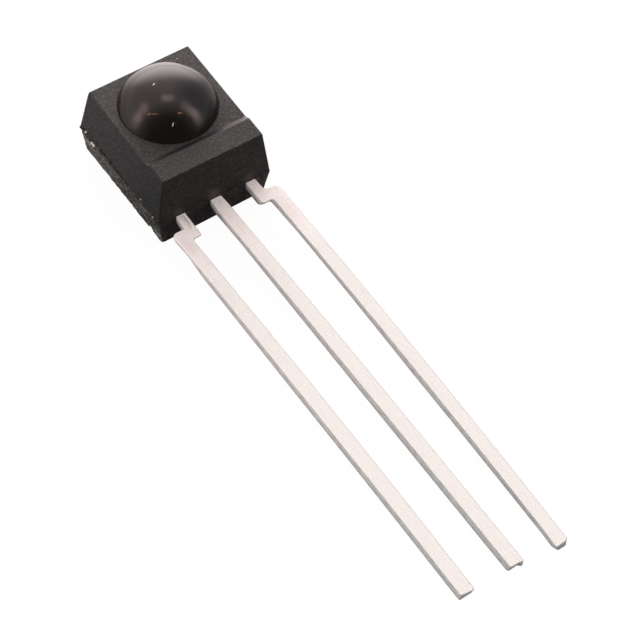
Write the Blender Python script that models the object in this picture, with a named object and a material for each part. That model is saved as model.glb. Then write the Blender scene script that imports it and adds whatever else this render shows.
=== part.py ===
"""Infrared receiver module: a moulded package with a lens, on three flat leads.

It lies on its flat back. The origin is the middle of that back face, +Z points out through the
lens, +Y points away from the leads and +X runs from the output lead to the supply lead.
"""

import math
from dataclasses import dataclass

import bmesh
import bpy
from mathutils import Vector

MM = 0.001

# Moulded body. Its outline is largest at the parting line, in the plane of the leads' front faces.
BODY_WIDTH = 6.0 * MM
BODY_HEIGHT = 6.9 * MM
BACK_DEPTH = 1.5 * MM
FIELD_DEPTH = 2.43 * MM
SIDE_DRAFT = math.radians(7.4)
END_DRAFT = math.radians(4.8)
BACK_DRAFT = math.radians(7.4)
FRONT_CORNER_RADIUS = 0.14 * MM
WORN_CORNER_RADIUS = 0.32 * MM
PARTING_CORNER_RADIUS = 0.2 * MM
BACK_CORNER_RADIUS = 0.32 * MM
BACK_EDGE_RADIUS = 0.1 * MM

# Raised band across the lead end of the front, and the sloped step down from it to the field
BAND_LENGTH = 1.38 * MM
BAND_RISE = 0.23 * MM
STEP_RUN = 0.34 * MM
STEP_RADIUS = 0.12 * MM

# Lens: a spherical cap standing on the field
LENS_RADIUS = 2.5 * MM
LENS_RISE = 1.67 * MM
LENS_ROOT = 0.3 * MM

# The lens and the lead frame sit this far right of the body's middle.
MOULD_SHIFT = 0.06 * MM

# Leads, stamped from one strip of sheet and cut from their dam bars at the shoulders
LEAD_PITCH = 2.54 * MM
ROOT_PITCH = 1.9 * MM
LEAD_WIDTH = 0.66 * MM
LEAD_THICKNESS = 0.46 * MM
LEAD_LENGTH = 24.26 * MM
OUTER_ROOT_WIDTH = 0.5 * MM
MIDDLE_ROOT_WIDTH = 0.58 * MM
MIDDLE_FLARE_LENGTH = 0.6 * MM
ROOT_FLARE = 0.08 * MM
SHOULDER_TOP = 0.78 * MM
SHOULDER_BOTTOM = 1.46 * MM
SHOULDER_STUB = 0.05 * MM
SHOULDER_RADIUS = 0.18 * MM
STUB_LENGTH = 0.9 * MM
HEEL_RADIUS = 0.09 * MM
CROTCH_RADIUS = 0.14 * MM
TIP_RADIUS = 0.1 * MM
STAMPED_EDGE = 0.03 * MM

# Lead frame inside the body
FRAME_CORNER = 0.12 * MM
FRAME_GAP = 0.25 * MM
NECK_LENGTH = 0.55 * MM
NECK_TAPER = 0.3 * MM
FRAME_WALL = 0.45 * MM
PADDLE_WIDTH = 2.7 * MM
PADDLE_MARGIN = 0.35 * MM
GROUND_LANDING = 0.45 * MM

# Dies on the paddle, with their attach layers
PHOTODIODE_SIDE = 1.5 * MM
RECEIVER_WIDTH = 1.3 * MM
RECEIVER_LENGTH = 1.1 * MM
DIE_THICKNESS = 0.25 * MM
DIE_GAP = 0.42 * MM
ATTACH_THICKNESS = 0.03 * MM
ATTACH_MARGIN = 0.06 * MM

# Bond wires, each with a ball at its first end
WIRE_RADIUS = 0.015 * MM
BALL_RADIUS = 0.045 * MM
BALL_HEIGHT = 0.05 * MM
WIRE_LOOP = 0.3 * MM
WIRE_KICK = 0.42 * MM
WIRE_TAIL_SHARE = 0.25
BOND_INSET = 0.17 * MM
LANDING_INSET = 0.25 * MM
GROUND_BOND_INSET = 0.15 * MM
SIGNAL_SPACING = 0.7 * MM

# The moulding compound, the dies and the wires keep this far from what they touch.
FIT = 0.01 * MM

ARC_STEPS = 5
EDGE_STEPS = 2
BEND_STEPS = 12
WIRE_STEPS = 12
WIRE_SIDES = 8
LENS_SEGMENTS = 72
LENS_RINGS = 18
OVERRUN = 0.5 * MM

# A corner's rounding takes up at most this share of the shorter side next to it.
ROUNDED_SHARE = 0.49

# Heights above the back face
PARTING = BACK_DEPTH
FIELD = PARTING + FIELD_DEPTH
BAND = FIELD + BAND_RISE
ATTACH_BASE = PARTING + FIT
DIE_BASE = ATTACH_BASE + ATTACH_THICKNESS + FIT
DIE_TOP = DIE_BASE + DIE_THICKNESS

# Places along the body and the leads
EXIT = -BODY_HEIGHT / 2
TIP = EXIT - LEAD_LENGTH
STEP_TOP = EXIT + BAND_LENGTH
STEP_FOOT = STEP_TOP + STEP_RUN
FIELD_END = -EXIT - FIELD_DEPTH * math.tan(END_DRAFT)
LENS_Y = (STEP_FOOT + FIELD_END) / 2
PHOTODIODE_Y = LENS_Y
RECEIVER_Y = PHOTODIODE_Y - PHOTODIODE_SIDE / 2 - DIE_GAP - RECEIVER_LENGTH / 2
PADDLE_END = PHOTODIODE_Y + PHOTODIODE_SIDE / 2 + PADDLE_MARGIN
PADDLE_START = RECEIVER_Y - RECEIVER_LENGTH / 2 - GROUND_LANDING


@dataclass(frozen=True)
class Lead:
    """One lead: the side of the middle it is on, and how far it is bent from straight."""

    name: str
    side: int
    bow: float
    drift: float
    shoulder_fillet: float = 0.0

    def centre(self, along):
        """X of the lead's middle, for along from 0 at the shoulder to 1 at the tip."""
        bend = 4 * self.bow * along * (1 - along) + self.drift * along
        return MOULD_SHIFT + self.side * LEAD_PITCH + bend


OUTPUT_LEAD = Lead("output_lead", -1, 0.085 * MM, 0.07 * MM, 0.05 * MM)
GROUND_LEAD = Lead("ground_lead", 0, 0.03 * MM, 0.18 * MM)
SUPPLY_LEAD = Lead("supply_lead", 1, 0.11 * MM, -0.04 * MM, 0.2 * MM)


def clear_scene():
    """Remove the startup objects."""
    for obj in list(bpy.data.objects):
        bpy.data.objects.remove(obj)


def material(name, colour, roughness, metallic=0.0):
    """A Principled BSDF material."""
    made = bpy.data.materials.new(name)
    made.use_nodes = True
    shader = made.node_tree.nodes["Principled BSDF"]
    shader.inputs["Base Color"].default_value = (*colour, 1.0)
    shader.inputs["Roughness"].default_value = roughness
    shader.inputs["Metallic"].default_value = metallic
    return made


def add_object(name, bm, surface=None):
    """Turn a bmesh into a named object, with a material unless it is a cutter."""
    bmesh.ops.recalc_face_normals(bm, faces=bm.faces)
    mesh = bpy.data.meshes.new(name)
    bm.to_mesh(mesh)
    bm.free()
    mesh.shade_smooth()
    mesh.set_sharp_from_angle(angle=math.radians(30))
    obj = bpy.data.objects.new(name, mesh)
    bpy.context.scene.collection.objects.link(obj)
    if surface:
        mesh.materials.append(surface)
    return obj


def combine(obj, bm, name, operation="DIFFERENCE"):
    """Cut a helper shape from the object, or unite the two, with a modifier that stays."""
    helper = add_object(name, bm)
    helper.hide_render = True
    helper.display_type = "WIRE"
    modifier = obj.modifiers.new(name, "BOOLEAN")
    modifier.operation = operation
    modifier.solver = "EXACT"
    modifier.object = helper


def corner_points(before, at, after, radius, grow):
    """Points round one corner of a counter-clockwise outline that is moved outwards by grow."""
    back = (before - at).normalized()
    ahead = (after - at).normalized()
    normals = Vector((-back.y, back.x)), Vector((ahead.y, -ahead.x))
    moved = at + (normals[0] + normals[1]) * (grow / (1 + normals[0].dot(normals[1])))
    if radius == 0:
        return [moved]
    turn = 1 if ahead.cross(back) > 0 else -1
    half = back.angle(ahead) / 2
    room = min((before - at).length, (after - at).length) * ROUNDED_SHARE
    radius = min(radius, room * math.tan(half)) + turn * grow
    middle = moved + (back + ahead).normalized() * (radius / math.sin(half))
    spoke = moved + back * (radius / math.tan(half)) - middle
    start = math.atan2(spoke.y, spoke.x)
    sweep = turn * (math.pi - 2 * half)
    angles = [start + sweep * step / ARC_STEPS for step in range(ARC_STEPS + 1)]
    return [middle + Vector((math.cos(a), math.sin(a))) * radius for a in angles]


def outline(corners, grow=0.0):
    """Points of a closed outline from its (x, y, radius) corners, counter-clockwise."""
    places = [Vector((x, y)) for x, y, _ in corners]
    points = []
    for index, (_, _, radius) in enumerate(corners):
        after = places[(index + 1) % len(places)]
        points += corner_points(places[index - 1], places[index], after, radius, grow)
    return points


def skin(rings):
    """A closed solid through rings of points, all of equal length, with its two ends filled."""
    bm = bmesh.new()
    loops = [[bm.verts.new(point) for point in ring] for ring in rings]
    for low, high in zip(loops, loops[1:]):
        for index, corner in enumerate(low):
            follow = (index + 1) % len(low)
            bm.faces.new((corner, low[follow], high[follow], high[index]))
    bm.faces.new(loops[0])
    bm.faces.new(loops[-1])
    return bm


def stack(layers):
    """A closed solid through level outlines, each given as (height, points)."""
    return skin([[(p.x, p.y, height) for p in points] for height, points in layers])


def quarter_round(radius):
    """(rise, inset) pairs up a rounded edge, from the flat face to the wall."""
    angles = [math.pi / 2 * step / EDGE_STEPS for step in range(EDGE_STEPS + 1)]
    return [(radius * (1 - math.cos(a)), radius * (1 - math.sin(a))) for a in angles]


def plate(corners, base, top, edge):
    """A plate between two heights, with its upper and lower edges rounded."""
    steps = quarter_round(edge)
    lower = [(base + rise, outline(corners, -inset)) for rise, inset in steps]
    upper = [(top - rise, outline(corners, -inset)) for rise, inset in reversed(steps)]
    return stack(lower + upper)


def sharp_plate(corners, base, top, grow=0.0):
    """A plate between two heights with sharp edges, larger all round by grow."""
    points = outline(corners, grow)
    return stack([(base - grow, points), (top + grow, points)])


def rectangle(centre_x, centre_y, width, length, radius=0.0):
    """Corners of an upright rectangle."""
    left, right = centre_x - width / 2, centre_x + width / 2
    low, high = centre_y - length / 2, centre_y + length / 2
    return [(left, low, radius), (right, low, radius), (right, high, radius), (left, high, radius)]


def back_section(height):
    """Corners of the body's outline in its back half."""
    inset = (PARTING - height) * math.tan(BACK_DRAFT)
    share = height / PARTING
    radius = BACK_CORNER_RADIUS + share * (PARTING_CORNER_RADIUS - BACK_CORNER_RADIUS)
    return rectangle(0, 0, BODY_WIDTH - 2 * inset, BODY_HEIGHT - 2 * inset, radius)


def front_section(height):
    """Corners of the body's outline in its front half, which has one worn corner."""
    side = (height - PARTING) * math.tan(SIDE_DRAFT)
    end = (height - PARTING) * math.tan(END_DRAFT)
    share = (height - PARTING) / FIELD_DEPTH
    radius = PARTING_CORNER_RADIUS + share * (FRONT_CORNER_RADIUS - PARTING_CORNER_RADIUS)
    worn = PARTING_CORNER_RADIUS + share * (WORN_CORNER_RADIUS - PARTING_CORNER_RADIUS)
    corners = rectangle(0, 0, BODY_WIDTH - 2 * side, BODY_HEIGHT - 2 * end, radius)
    top_left = corners.pop()
    return corners + [(top_left[0], top_left[1], worn)]


def drafted_block():
    """The two drafted halves in one, taller than the band, which the front cutter trims."""
    layers = []
    for rise, inset in quarter_round(BACK_EDGE_RADIUS):
        layers.append((rise, outline(back_section(rise), -inset)))
    layers.append((PARTING, outline(back_section(PARTING))))
    top = BAND + OVERRUN
    layers.append((top, outline(front_section(top))))
    return stack(layers)


def front_cutter():
    """What the mould's front face leaves out: all above the band, the step and the field."""
    near, far, high = EXIT - OVERRUN, -EXIT + OVERRUN, BAND + 2 * OVERRUN
    corners = [
        (near, BAND, 0),
        (STEP_TOP, BAND, STEP_RADIUS),
        (STEP_FOOT, FIELD, STEP_RADIUS),
        (far, FIELD, 0),
        (far, high, 0),
        (near, high, 0),
    ]
    profile = outline(corners)
    reach = BODY_WIDTH / 2 + OVERRUN
    bm = stack([(-reach, profile), (reach, profile)])
    for vert in bm.verts:
        vert.co = vert.co.zxy
    return bm


def lens():
    """The lens with a root that reaches down into the field."""
    sphere_height = FIELD + LENS_RISE - LENS_RADIUS
    base_angle = math.asin((FIELD - sphere_height) / LENS_RADIUS)
    base_radius = LENS_RADIUS * math.cos(base_angle)
    profile = [(0, FIELD - LENS_ROOT), (base_radius, FIELD - LENS_ROOT)]
    for step in range(LENS_RINGS):
        angle = base_angle + (math.pi / 2 - base_angle) * step / LENS_RINGS
        profile.append((LENS_RADIUS * math.cos(angle), sphere_height + LENS_RADIUS * math.sin(angle)))
    profile.append((0, FIELD + LENS_RISE))
    bm = bmesh.new()
    verts = [bm.verts.new((MOULD_SHIFT + out, LENS_Y, height)) for out, height in profile]
    edges = [bm.edges.new(pair) for pair in zip(verts, verts[1:])]
    axis_point = (MOULD_SHIFT, LENS_Y, 0)
    bmesh.ops.spin(
        bm, geom=verts + edges, cent=axis_point, axis=(0, 0, 1), angle=math.tau, steps=LENS_SEGMENTS
    )
    bmesh.ops.remove_doubles(bm, verts=bm.verts, dist=FIT / 100)
    return bm


def straight_run(lead, edge_side, upwards):
    """Corners along one edge of a lead's gently bent strip, without its two ends."""
    start = EXIT - SHOULDER_BOTTOM
    steps = range(1, BEND_STEPS)
    run = []
    for step in reversed(steps) if upwards else steps:
        along = step / BEND_STEPS
        x = lead.centre(along) + edge_side * LEAD_WIDTH / 2
        run.append((x, start + along * (TIP - start), 0))
    return run


def tip_corners(lead):
    """The two corners at a lead's tip, left then right."""
    middle = lead.centre(1)
    return [(middle - LEAD_WIDTH / 2, TIP, TIP_RADIUS), (middle + LEAD_WIDTH / 2, TIP, TIP_RADIUS)]


def outer_neck(lead):
    """Corners of an outer lead from its outward shoulder up, round its pad and down to its heel."""
    inner = ROOT_PITCH - OUTER_ROOT_WIDTH / 2
    outer = ROOT_PITCH + OUTER_ROOT_WIDTH / 2
    strip = LEAD_PITCH + LEAD_WIDTH / 2
    pad_inner = PADDLE_WIDTH / 2 + FRAME_GAP
    pad_outer = BODY_WIDTH / 2 - FRAME_WALL
    neck_end = EXIT + NECK_LENGTH
    pad_start = neck_end + NECK_TAPER
    pad_end = RECEIVER_Y + RECEIVER_LENGTH / 2
    corners = [
        (strip, EXIT - SHOULDER_TOP - STUB_LENGTH, 0),
        (strip + SHOULDER_STUB, EXIT - SHOULDER_TOP, SHOULDER_RADIUS),
        (outer + ROOT_FLARE, EXIT - SHOULDER_TOP, lead.shoulder_fillet),
        (outer, EXIT, 0),
        (outer, neck_end, 0),
        (pad_outer, pad_start, FRAME_CORNER),
        (pad_outer, pad_end, FRAME_CORNER),
        (pad_inner, pad_end, FRAME_CORNER),
        (pad_inner, pad_start, 0),
        (inner, neck_end, 0),
        (inner, EXIT - SHOULDER_BOTTOM, HEEL_RADIUS),
        (LEAD_PITCH - LEAD_WIDTH / 2, EXIT - SHOULDER_BOTTOM, CROTCH_RADIUS),
    ]
    placed = [(MOULD_SHIFT + lead.side * out, y, radius) for out, y, radius in corners]
    return placed if lead.side > 0 else placed[::-1]


def middle_neck():
    """Corners of the middle lead from its right edge up, round its paddle and down its left edge."""
    half_strip, half_root = LEAD_WIDTH / 2, MIDDLE_ROOT_WIDTH / 2
    right = [
        (half_strip, EXIT - MIDDLE_FLARE_LENGTH, 0),
        (half_root, EXIT, 0),
        (half_root, PADDLE_START, FRAME_CORNER),
        (PADDLE_WIDTH / 2, PADDLE_START, FRAME_CORNER),
        (PADDLE_WIDTH / 2, PADDLE_END, FRAME_CORNER),
    ]
    left = [(-out, y, radius) for out, y, radius in reversed(right)]
    return [(MOULD_SHIFT + x, y, radius) for x, y, radius in right + left]


def lead_corners(lead):
    """The whole outline of one lead, counter-clockwise from its tip."""
    neck = outer_neck(lead) if lead.side else middle_neck()
    return [*tip_corners(lead), *straight_run(lead, 1, True), *neck, *straight_run(lead, -1, False)]


def attach_corners(y, width, length):
    """Outline of the layer that fixes a die to the paddle."""
    margin = 2 * ATTACH_MARGIN
    return rectangle(MOULD_SHIFT, y, width + margin, length + margin, ATTACH_MARGIN)


def wire_path(start, end):
    """Centre points of a bond wire: up from its ball, over in a loop and down to its landing."""
    across = Vector((end.x - start.x, end.y - start.y, 0))
    top = start + Vector((0, 0, BALL_HEIGHT))
    kick = top + Vector((0, 0, WIRE_KICK))
    tail = end - across * WIRE_TAIL_SHARE + Vector((0, 0, WIRE_LOOP))
    handles = [top, kick, tail, end]
    points = [start, start + Vector((0, 0, BALL_HEIGHT / 2))]
    for step in range(WIRE_STEPS + 1):
        t = step / WIRE_STEPS
        weights = ((1 - t) ** 3, 3 * t * (1 - t) ** 2, 3 * t**2 * (1 - t), t**3)
        points.append(sum((h * w for h, w in zip(handles, weights)), Vector()))
    return points


def wire(path, grow=0.0):
    """A round wire along a path in one upright plane, thick at its ball, larger by grow."""
    side = Vector((path[0].y - path[-1].y, path[-1].x - path[0].x, 0)).normalized()
    before, after = [path[0], *path[:-1]], [*path[1:], path[-1]]
    tangents = [(ahead - behind).normalized() for behind, ahead in zip(before, after)]
    places = list(path)
    places[0] = places[0] - tangents[0] * grow
    places[-1] = places[-1] + tangents[-1] * grow
    angles = [math.tau * step / WIRE_SIDES for step in range(WIRE_SIDES)]
    rings = []
    for index, (place, tangent) in enumerate(zip(places, tangents)):
        radius = (BALL_RADIUS if index < 2 else WIRE_RADIUS) + grow
        up = side.cross(tangent)
        spokes = [side * math.cos(a) + up * math.sin(a) for a in angles]
        rings.append([place + spoke * radius for spoke in spokes])
    return skin(rings)


def wire_paths():
    """The path of each bond wire by its node's name."""
    on_die = DIE_TOP + FIT
    on_frame = PARTING + FIT + WIRE_RADIUS
    receiver_low = RECEIVER_Y - RECEIVER_LENGTH / 2 + BOND_INSET
    receiver_high = RECEIVER_Y + RECEIVER_LENGTH / 2 - BOND_INSET
    photodiode_low = PHOTODIODE_Y - PHOTODIODE_SIDE / 2 + BOND_INSET
    paths = {}
    for name, side in (("bond_wire_signal", -1), ("bond_wire_bias", 1)):
        x = MOULD_SHIFT + side * SIGNAL_SPACING / 2
        end = Vector((x, photodiode_low, on_die + WIRE_RADIUS))
        paths[name] = wire_path(Vector((x, receiver_high, on_die)), end)
    for name, side in (("bond_wire_output", -1), ("bond_wire_supply", 1)):
        start_x = MOULD_SHIFT + side * (RECEIVER_WIDTH / 2 - BOND_INSET)
        end_x = MOULD_SHIFT + side * (PADDLE_WIDTH / 2 + FRAME_GAP + LANDING_INSET)
        start = Vector((start_x, RECEIVER_Y, on_die))
        paths[name] = wire_path(start, Vector((end_x, RECEIVER_Y, on_frame)))
    start = Vector((MOULD_SHIFT, receiver_low, on_die))
    end = Vector((MOULD_SHIFT, PADDLE_START + GROUND_BOND_INSET, on_frame))
    paths["bond_wire_ground"] = wire_path(start, end)
    return paths


def build():
    """Make every piece, and the moulded body round the ones inside it."""
    clear_scene()
    epoxy = material("moulding_compound", (0.021, 0.02, 0.02), 0.6)
    tin = material("tinned_lead", (0.82, 0.79, 0.78), 0.42, 1.0)
    silicon = material("silicon", (0.11, 0.12, 0.15), 0.25, 0.6)
    adhesive = material("die_attach", (0.55, 0.55, 0.53), 0.5, 0.8)
    gold = material("gold_wire", (0.95, 0.72, 0.3), 0.25, 1.0)

    body = add_object("epoxy_body", drafted_block(), epoxy)
    combine(body, front_cutter(), "front_cutter")
    combine(body, lens(), "lens_cap", "UNION")

    frame_base = PARTING - LEAD_THICKNESS
    for lead in (OUTPUT_LEAD, GROUND_LEAD, SUPPLY_LEAD):
        corners = lead_corners(lead)
        add_object(lead.name, plate(corners, frame_base, PARTING, STAMPED_EDGE), tin)
        combine(body, sharp_plate(corners, frame_base, PARTING, FIT), lead.name + "_slot")

    dies = (
        ("photodiode_die", PHOTODIODE_Y, PHOTODIODE_SIDE, PHOTODIODE_SIDE),
        ("receiver_die", RECEIVER_Y, RECEIVER_WIDTH, RECEIVER_LENGTH),
    )
    for name, y, width, length in dies:
        corners = rectangle(MOULD_SHIFT, y, width, length)
        add_object(name, sharp_plate(corners, DIE_BASE, DIE_TOP), silicon)
        combine(body, sharp_plate(corners, DIE_BASE, DIE_TOP, FIT), name + "_pocket")
        layer = attach_corners(y, width, length)
        layer_top = ATTACH_BASE + ATTACH_THICKNESS
        add_object(name + "_attach", sharp_plate(layer, ATTACH_BASE, layer_top), adhesive)
        combine(body, sharp_plate(layer, ATTACH_BASE, layer_top, FIT), name + "_attach_pocket")

    for name, path in wire_paths().items():
        add_object(name, wire(path), gold)
        combine(body, wire(path, FIT), name + "_tunnel")


build()
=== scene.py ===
"""Studio scene of an infrared receiver module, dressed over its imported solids.

All sizes inside the classes are in millimetres in the shared frame: the back face lies at Z 0,
the lens points up and the leads run towards -Y. Meshes are written in metres.
"""

import logging
import math
from dataclasses import dataclass
from enum import Enum
from functools import reduce
from typing import NamedTuple

import bpy
import numpy as np
from mathutils import Matrix, Vector, noise


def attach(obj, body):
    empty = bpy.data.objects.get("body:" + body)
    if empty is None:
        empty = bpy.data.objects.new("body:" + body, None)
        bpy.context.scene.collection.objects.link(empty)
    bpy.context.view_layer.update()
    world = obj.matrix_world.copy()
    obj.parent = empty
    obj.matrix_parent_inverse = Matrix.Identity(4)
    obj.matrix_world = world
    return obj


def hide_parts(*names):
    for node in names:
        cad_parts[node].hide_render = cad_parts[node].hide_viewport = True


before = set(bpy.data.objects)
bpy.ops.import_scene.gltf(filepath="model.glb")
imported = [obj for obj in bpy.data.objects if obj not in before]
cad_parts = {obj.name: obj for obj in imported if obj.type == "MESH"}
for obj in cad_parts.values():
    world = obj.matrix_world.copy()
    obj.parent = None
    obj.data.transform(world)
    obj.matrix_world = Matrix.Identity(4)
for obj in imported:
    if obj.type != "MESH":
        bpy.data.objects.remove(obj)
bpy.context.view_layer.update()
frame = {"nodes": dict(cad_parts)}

MM = 0.001
LOG = logging.getLogger("receiver_scene")

Point = tuple[float, float, float]
Colour = tuple[float, float, float]
Span = tuple[float, float]
Socket = bpy.types.NodeSocket
Sockets = bpy.types.NodeOutputs


class Slot(Enum):
    """The record's material slot names for the compound and the tin."""

    COMPOUND = "moulding_compound"
    TIN = "tinned_lead"


class Side(Enum):
    """Which side of the body a lead leaves from, as a sign along X."""

    LEFT = -1
    MIDDLE = 0
    RIGHT = 1


def smooth(value: np.ndarray, low: float, high: float) -> np.ndarray:
    """A soft step from 0 at low to 1 at high.

    Args:
        value: Where along the step each sample lies.
        low: Start of the step.
        high: End of the step, which may be below low.

    Returns:
        The height of the step at each sample.
    """
    t = np.clip((value - low) / (high - low), 0.0, 1.0)
    return t * t * (3.0 - 2.0 * t)


def grain(points: np.ndarray, size: float, seed: float = 0.0) -> np.ndarray:
    """Smooth noise between about -1 and 1 at each point.

    Args:
        points: N by 3 points in millimetres.
        size: Size of one lump of noise.
        seed: Offset that gives another pattern.

    Returns:
        N values.
    """
    scaled = points / size + seed
    return np.array([noise.noise(Vector(p)) for p in scaled])


def quarter_turn(steps: int) -> list[Span]:
    """Steps round a rounded edge, from its wall to its face.

    Args:
        steps: How many there are.

    Returns:
        How far each lies in from the wall and off the face, as shares of the radius.
    """
    turns = np.linspace(0.0, math.pi / 2, steps)
    return [(1.0 - math.cos(turn), 1.0 - math.sin(turn)) for turn in turns]


def ring_normals(rings: np.ndarray) -> np.ndarray:
    """Normals of a wall of closed rings, with the lowest and the highest ring level.

    Args:
        rings: Rings by samples by 3 points, rising and counter-clockwise.

    Returns:
        The normal at each point, not yet of unit length.
    """
    along = np.roll(rings, -1, axis=1) - np.roll(rings, 1, axis=1)
    normals = np.cross(along, np.gradient(rings, axis=0))
    normals[0], normals[-1] = (0.0, 0.0, -1.0), (0.0, 0.0, 1.0)
    return normals


class MeshDraft:
    """Collects patches with their own normals and makes one mesh of them."""

    def __init__(self) -> None:
        """Start with nothing in the mesh."""
        self.points: list[np.ndarray] = []
        self.normals: list[np.ndarray] = []
        self.faces: list[tuple[int, ...]] = []
        self.slots: list[int] = []
        self.masks: dict[str, list[np.ndarray]] = {}
        self.count = 0

    def add_grid(
        self,
        points: np.ndarray,
        normals: np.ndarray,
        slot: int,
        closed: bool = False,
        **masks: np.ndarray,
    ) -> None:
        """Add a grid of quads.

        Args:
            points: Rows by columns by 3 points.
            normals: The surface normal at each point.
            slot: Material slot of the patch.
            closed: Whether the last column joins the first.
            masks: Named values from 0 to 1 at each point.
        """
        rows, columns = points.shape[:2]
        first = self._add_points(points.reshape(-1, 3), normals.reshape(-1, 3), masks)
        for row in range(rows - 1):
            for column in range(columns if closed else columns - 1):
                after = (column + 1) % columns
                a, b = first + row * columns + column, first + row * columns + after
                self._add_face((a, b, b + columns, a + columns), slot)

    def add_cap(self, points: np.ndarray, normal: Point, slot: int) -> None:
        """Fill a closed loop of points with one flat face.

        Args:
            points: N by 3 points in order.
            normal: Which way the face looks.
            slot: Material slot of the face.
        """
        first = self._add_points(points, np.tile(np.array(normal), (len(points), 1)), {})
        self._add_face(tuple(range(first, first + len(points))), slot)

    def _add_points(
        self, points: np.ndarray, normals: np.ndarray, masks: dict[str, np.ndarray]
    ) -> int:
        """Store points with their normals and masks.

        Args:
            points: N by 3 points.
            normals: The surface normal at each point.
            masks: Named values from 0 to 1 at each point.

        Returns:
            The number of the first point.
        """
        first = self.count
        self.points.append(points)
        self.normals.append(normals / np.linalg.norm(normals, axis=1, keepdims=True))
        for name in set(self.masks) | set(masks):
            kept = self.masks.setdefault(name, [np.zeros(first)] if first else [])
            kept.append(masks[name].reshape(-1) if name in masks else np.zeros(len(points)))
        self.count += len(points)
        return first

    def _add_face(self, corners: tuple[int, ...], slot: int) -> None:
        """Store one face."""
        self.faces.append(corners)
        self.slots.append(slot)

    def build(self, name: str, materials: list[bpy.types.Material]) -> bpy.types.Object:
        """Make the object.

        Args:
            name: Name of the piece.
            materials: Its materials, in slot order.

        Returns:
            The new object, in the scene's collection.
        """
        points, normals = np.concatenate(self.points), np.concatenate(self.normals)
        faces = []
        for corners in self.faces:
            loop = points[list(corners)]
            facing = sum(np.cross(a - loop[0], b - loop[0]) for a, b in zip(loop[1:], loop[2:]))
            turned = facing @ normals[list(corners)].sum(axis=0) < 0
            faces.append(corners[::-1] if turned else corners)
        mesh = bpy.data.meshes.new(name)
        mesh.from_pydata((points * MM).tolist(), [], faces)
        mesh.polygons.foreach_set("material_index", self.slots)
        mesh.polygons.foreach_set("use_smooth", [True] * len(faces))
        for mask, parts in self.masks.items():
            layer = mesh.attributes.new(mask, "FLOAT", "POINT")
            layer.data.foreach_set("value", np.concatenate(parts).astype(np.float32))
        mesh.normals_split_custom_set_from_vertices(normals.tolist())
        mesh.update()
        for material in materials:
            mesh.materials.append(material)
        made = bpy.data.objects.new(name, mesh)
        bpy.context.scene.collection.objects.link(made)
        return made


def colour4(value: object) -> object:
    """A colour with its alpha, or the socket as it is."""
    return (*value, 1.0) if isinstance(value, tuple) and len(value) == 3 else value


@dataclass(frozen=True)
class Mark:
    """A small mark on a surface: an ellipsoid that colours what lies inside it.

    Turn is its angle about Z in degrees, and soft the share of its depth over which it fades.
    """

    centre: Point
    radii: Point
    turn: float = 0.0
    strength: float = 1.0
    soft: float = 0.5


class Recipe:
    """Lays out the nodes of one material or world."""

    def __init__(self, owner: bpy.types.Material | bpy.types.World) -> None:
        """Start from an empty tree.

        Args:
            owner: The material or world that gets the nodes.
        """
        owner.use_nodes = True
        self.tree = owner.node_tree
        self.tree.nodes.clear()

    def node(
        self, kind: str, inputs: dict[int | str, object], **settings: object
    ) -> bpy.types.Node:
        """Add a node.

        Args:
            kind: The node's type, without its ShaderNode prefix.
            inputs: Values or sockets for its inputs.
            settings: Values for its properties.

        Returns:
            The new node.
        """
        made = self.tree.nodes.new("ShaderNode" + kind)
        for name, value in settings.items():
            setattr(made, name, value)
        for key, value in inputs.items():
            self.feed(made.inputs[key], value)
        return made

    def feed(self, socket: Socket, value: object) -> None:
        """Link a socket to an input, or set a plain value on it.

        Args:
            socket: The input.
            value: The socket or value that it gets.
        """
        if isinstance(value, bpy.types.NodeSocket):
            self.tree.links.new(value, socket)
        else:
            socket.default_value = value

    def math(self, operation: str, a: object, b: object = 0.0) -> Socket:
        """One step of arithmetic on two values."""
        return self.node("Math", {0: a, 1: b}, operation=operation).outputs[0]

    def times(self, *factors: object) -> Socket:
        """The product of several values."""
        return reduce(lambda product, factor: self.math("MULTIPLY", product, factor), factors)

    def most(self, *values: object) -> Socket:
        """The largest of several values."""
        return reduce(lambda most, value: self.math("MAXIMUM", most, value), values)

    def ramp(
        self, value: object, low: float, high: float, start: float = 0.0, end: float = 1.0
    ) -> Socket:
        """A soft step in a value.

        Args:
            value: The value that is stepped.
            low: Where the step starts.
            high: Where it ends.
            start: Result before the step.
            end: Result after it.

        Returns:
            The stepped value's socket.
        """
        inputs = {"Value": value, "From Min": low, "From Max": high, "To Min": start, "To Max": end}
        return self.node("MapRange", inputs, interpolation_type="SMOOTHSTEP").outputs[0]

    def blend(self, share: object, first: object, second: object, kind: str = "MIX") -> Socket:
        """Two colours blended, plainly or in another of Blender's ways."""
        inputs = {0: share, 6: colour4(first), 7: colour4(second)}
        return self.node("Mix", inputs, data_type="RGBA", blend_type=kind).outputs[2]

    def layers(self, shade: object, *layers: tuple[object, object], kind: str = "MIX") -> Socket:
        """Lay colours over a colour.

        Args:
            shade: The colour below.
            layers: The share and colour of each layer, from the lowest to the highest.
            kind: How they blend.

        Returns:
            The colour's socket.
        """
        for share, colour in layers:
            shade = self.blend(share, shade, colour, kind)
        return shade

    def axes(self, vector: Socket) -> Sockets:
        """The X, Y and Z parts of a vector."""
        return self.node("SeparateXYZ", {0: vector}).outputs


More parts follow.
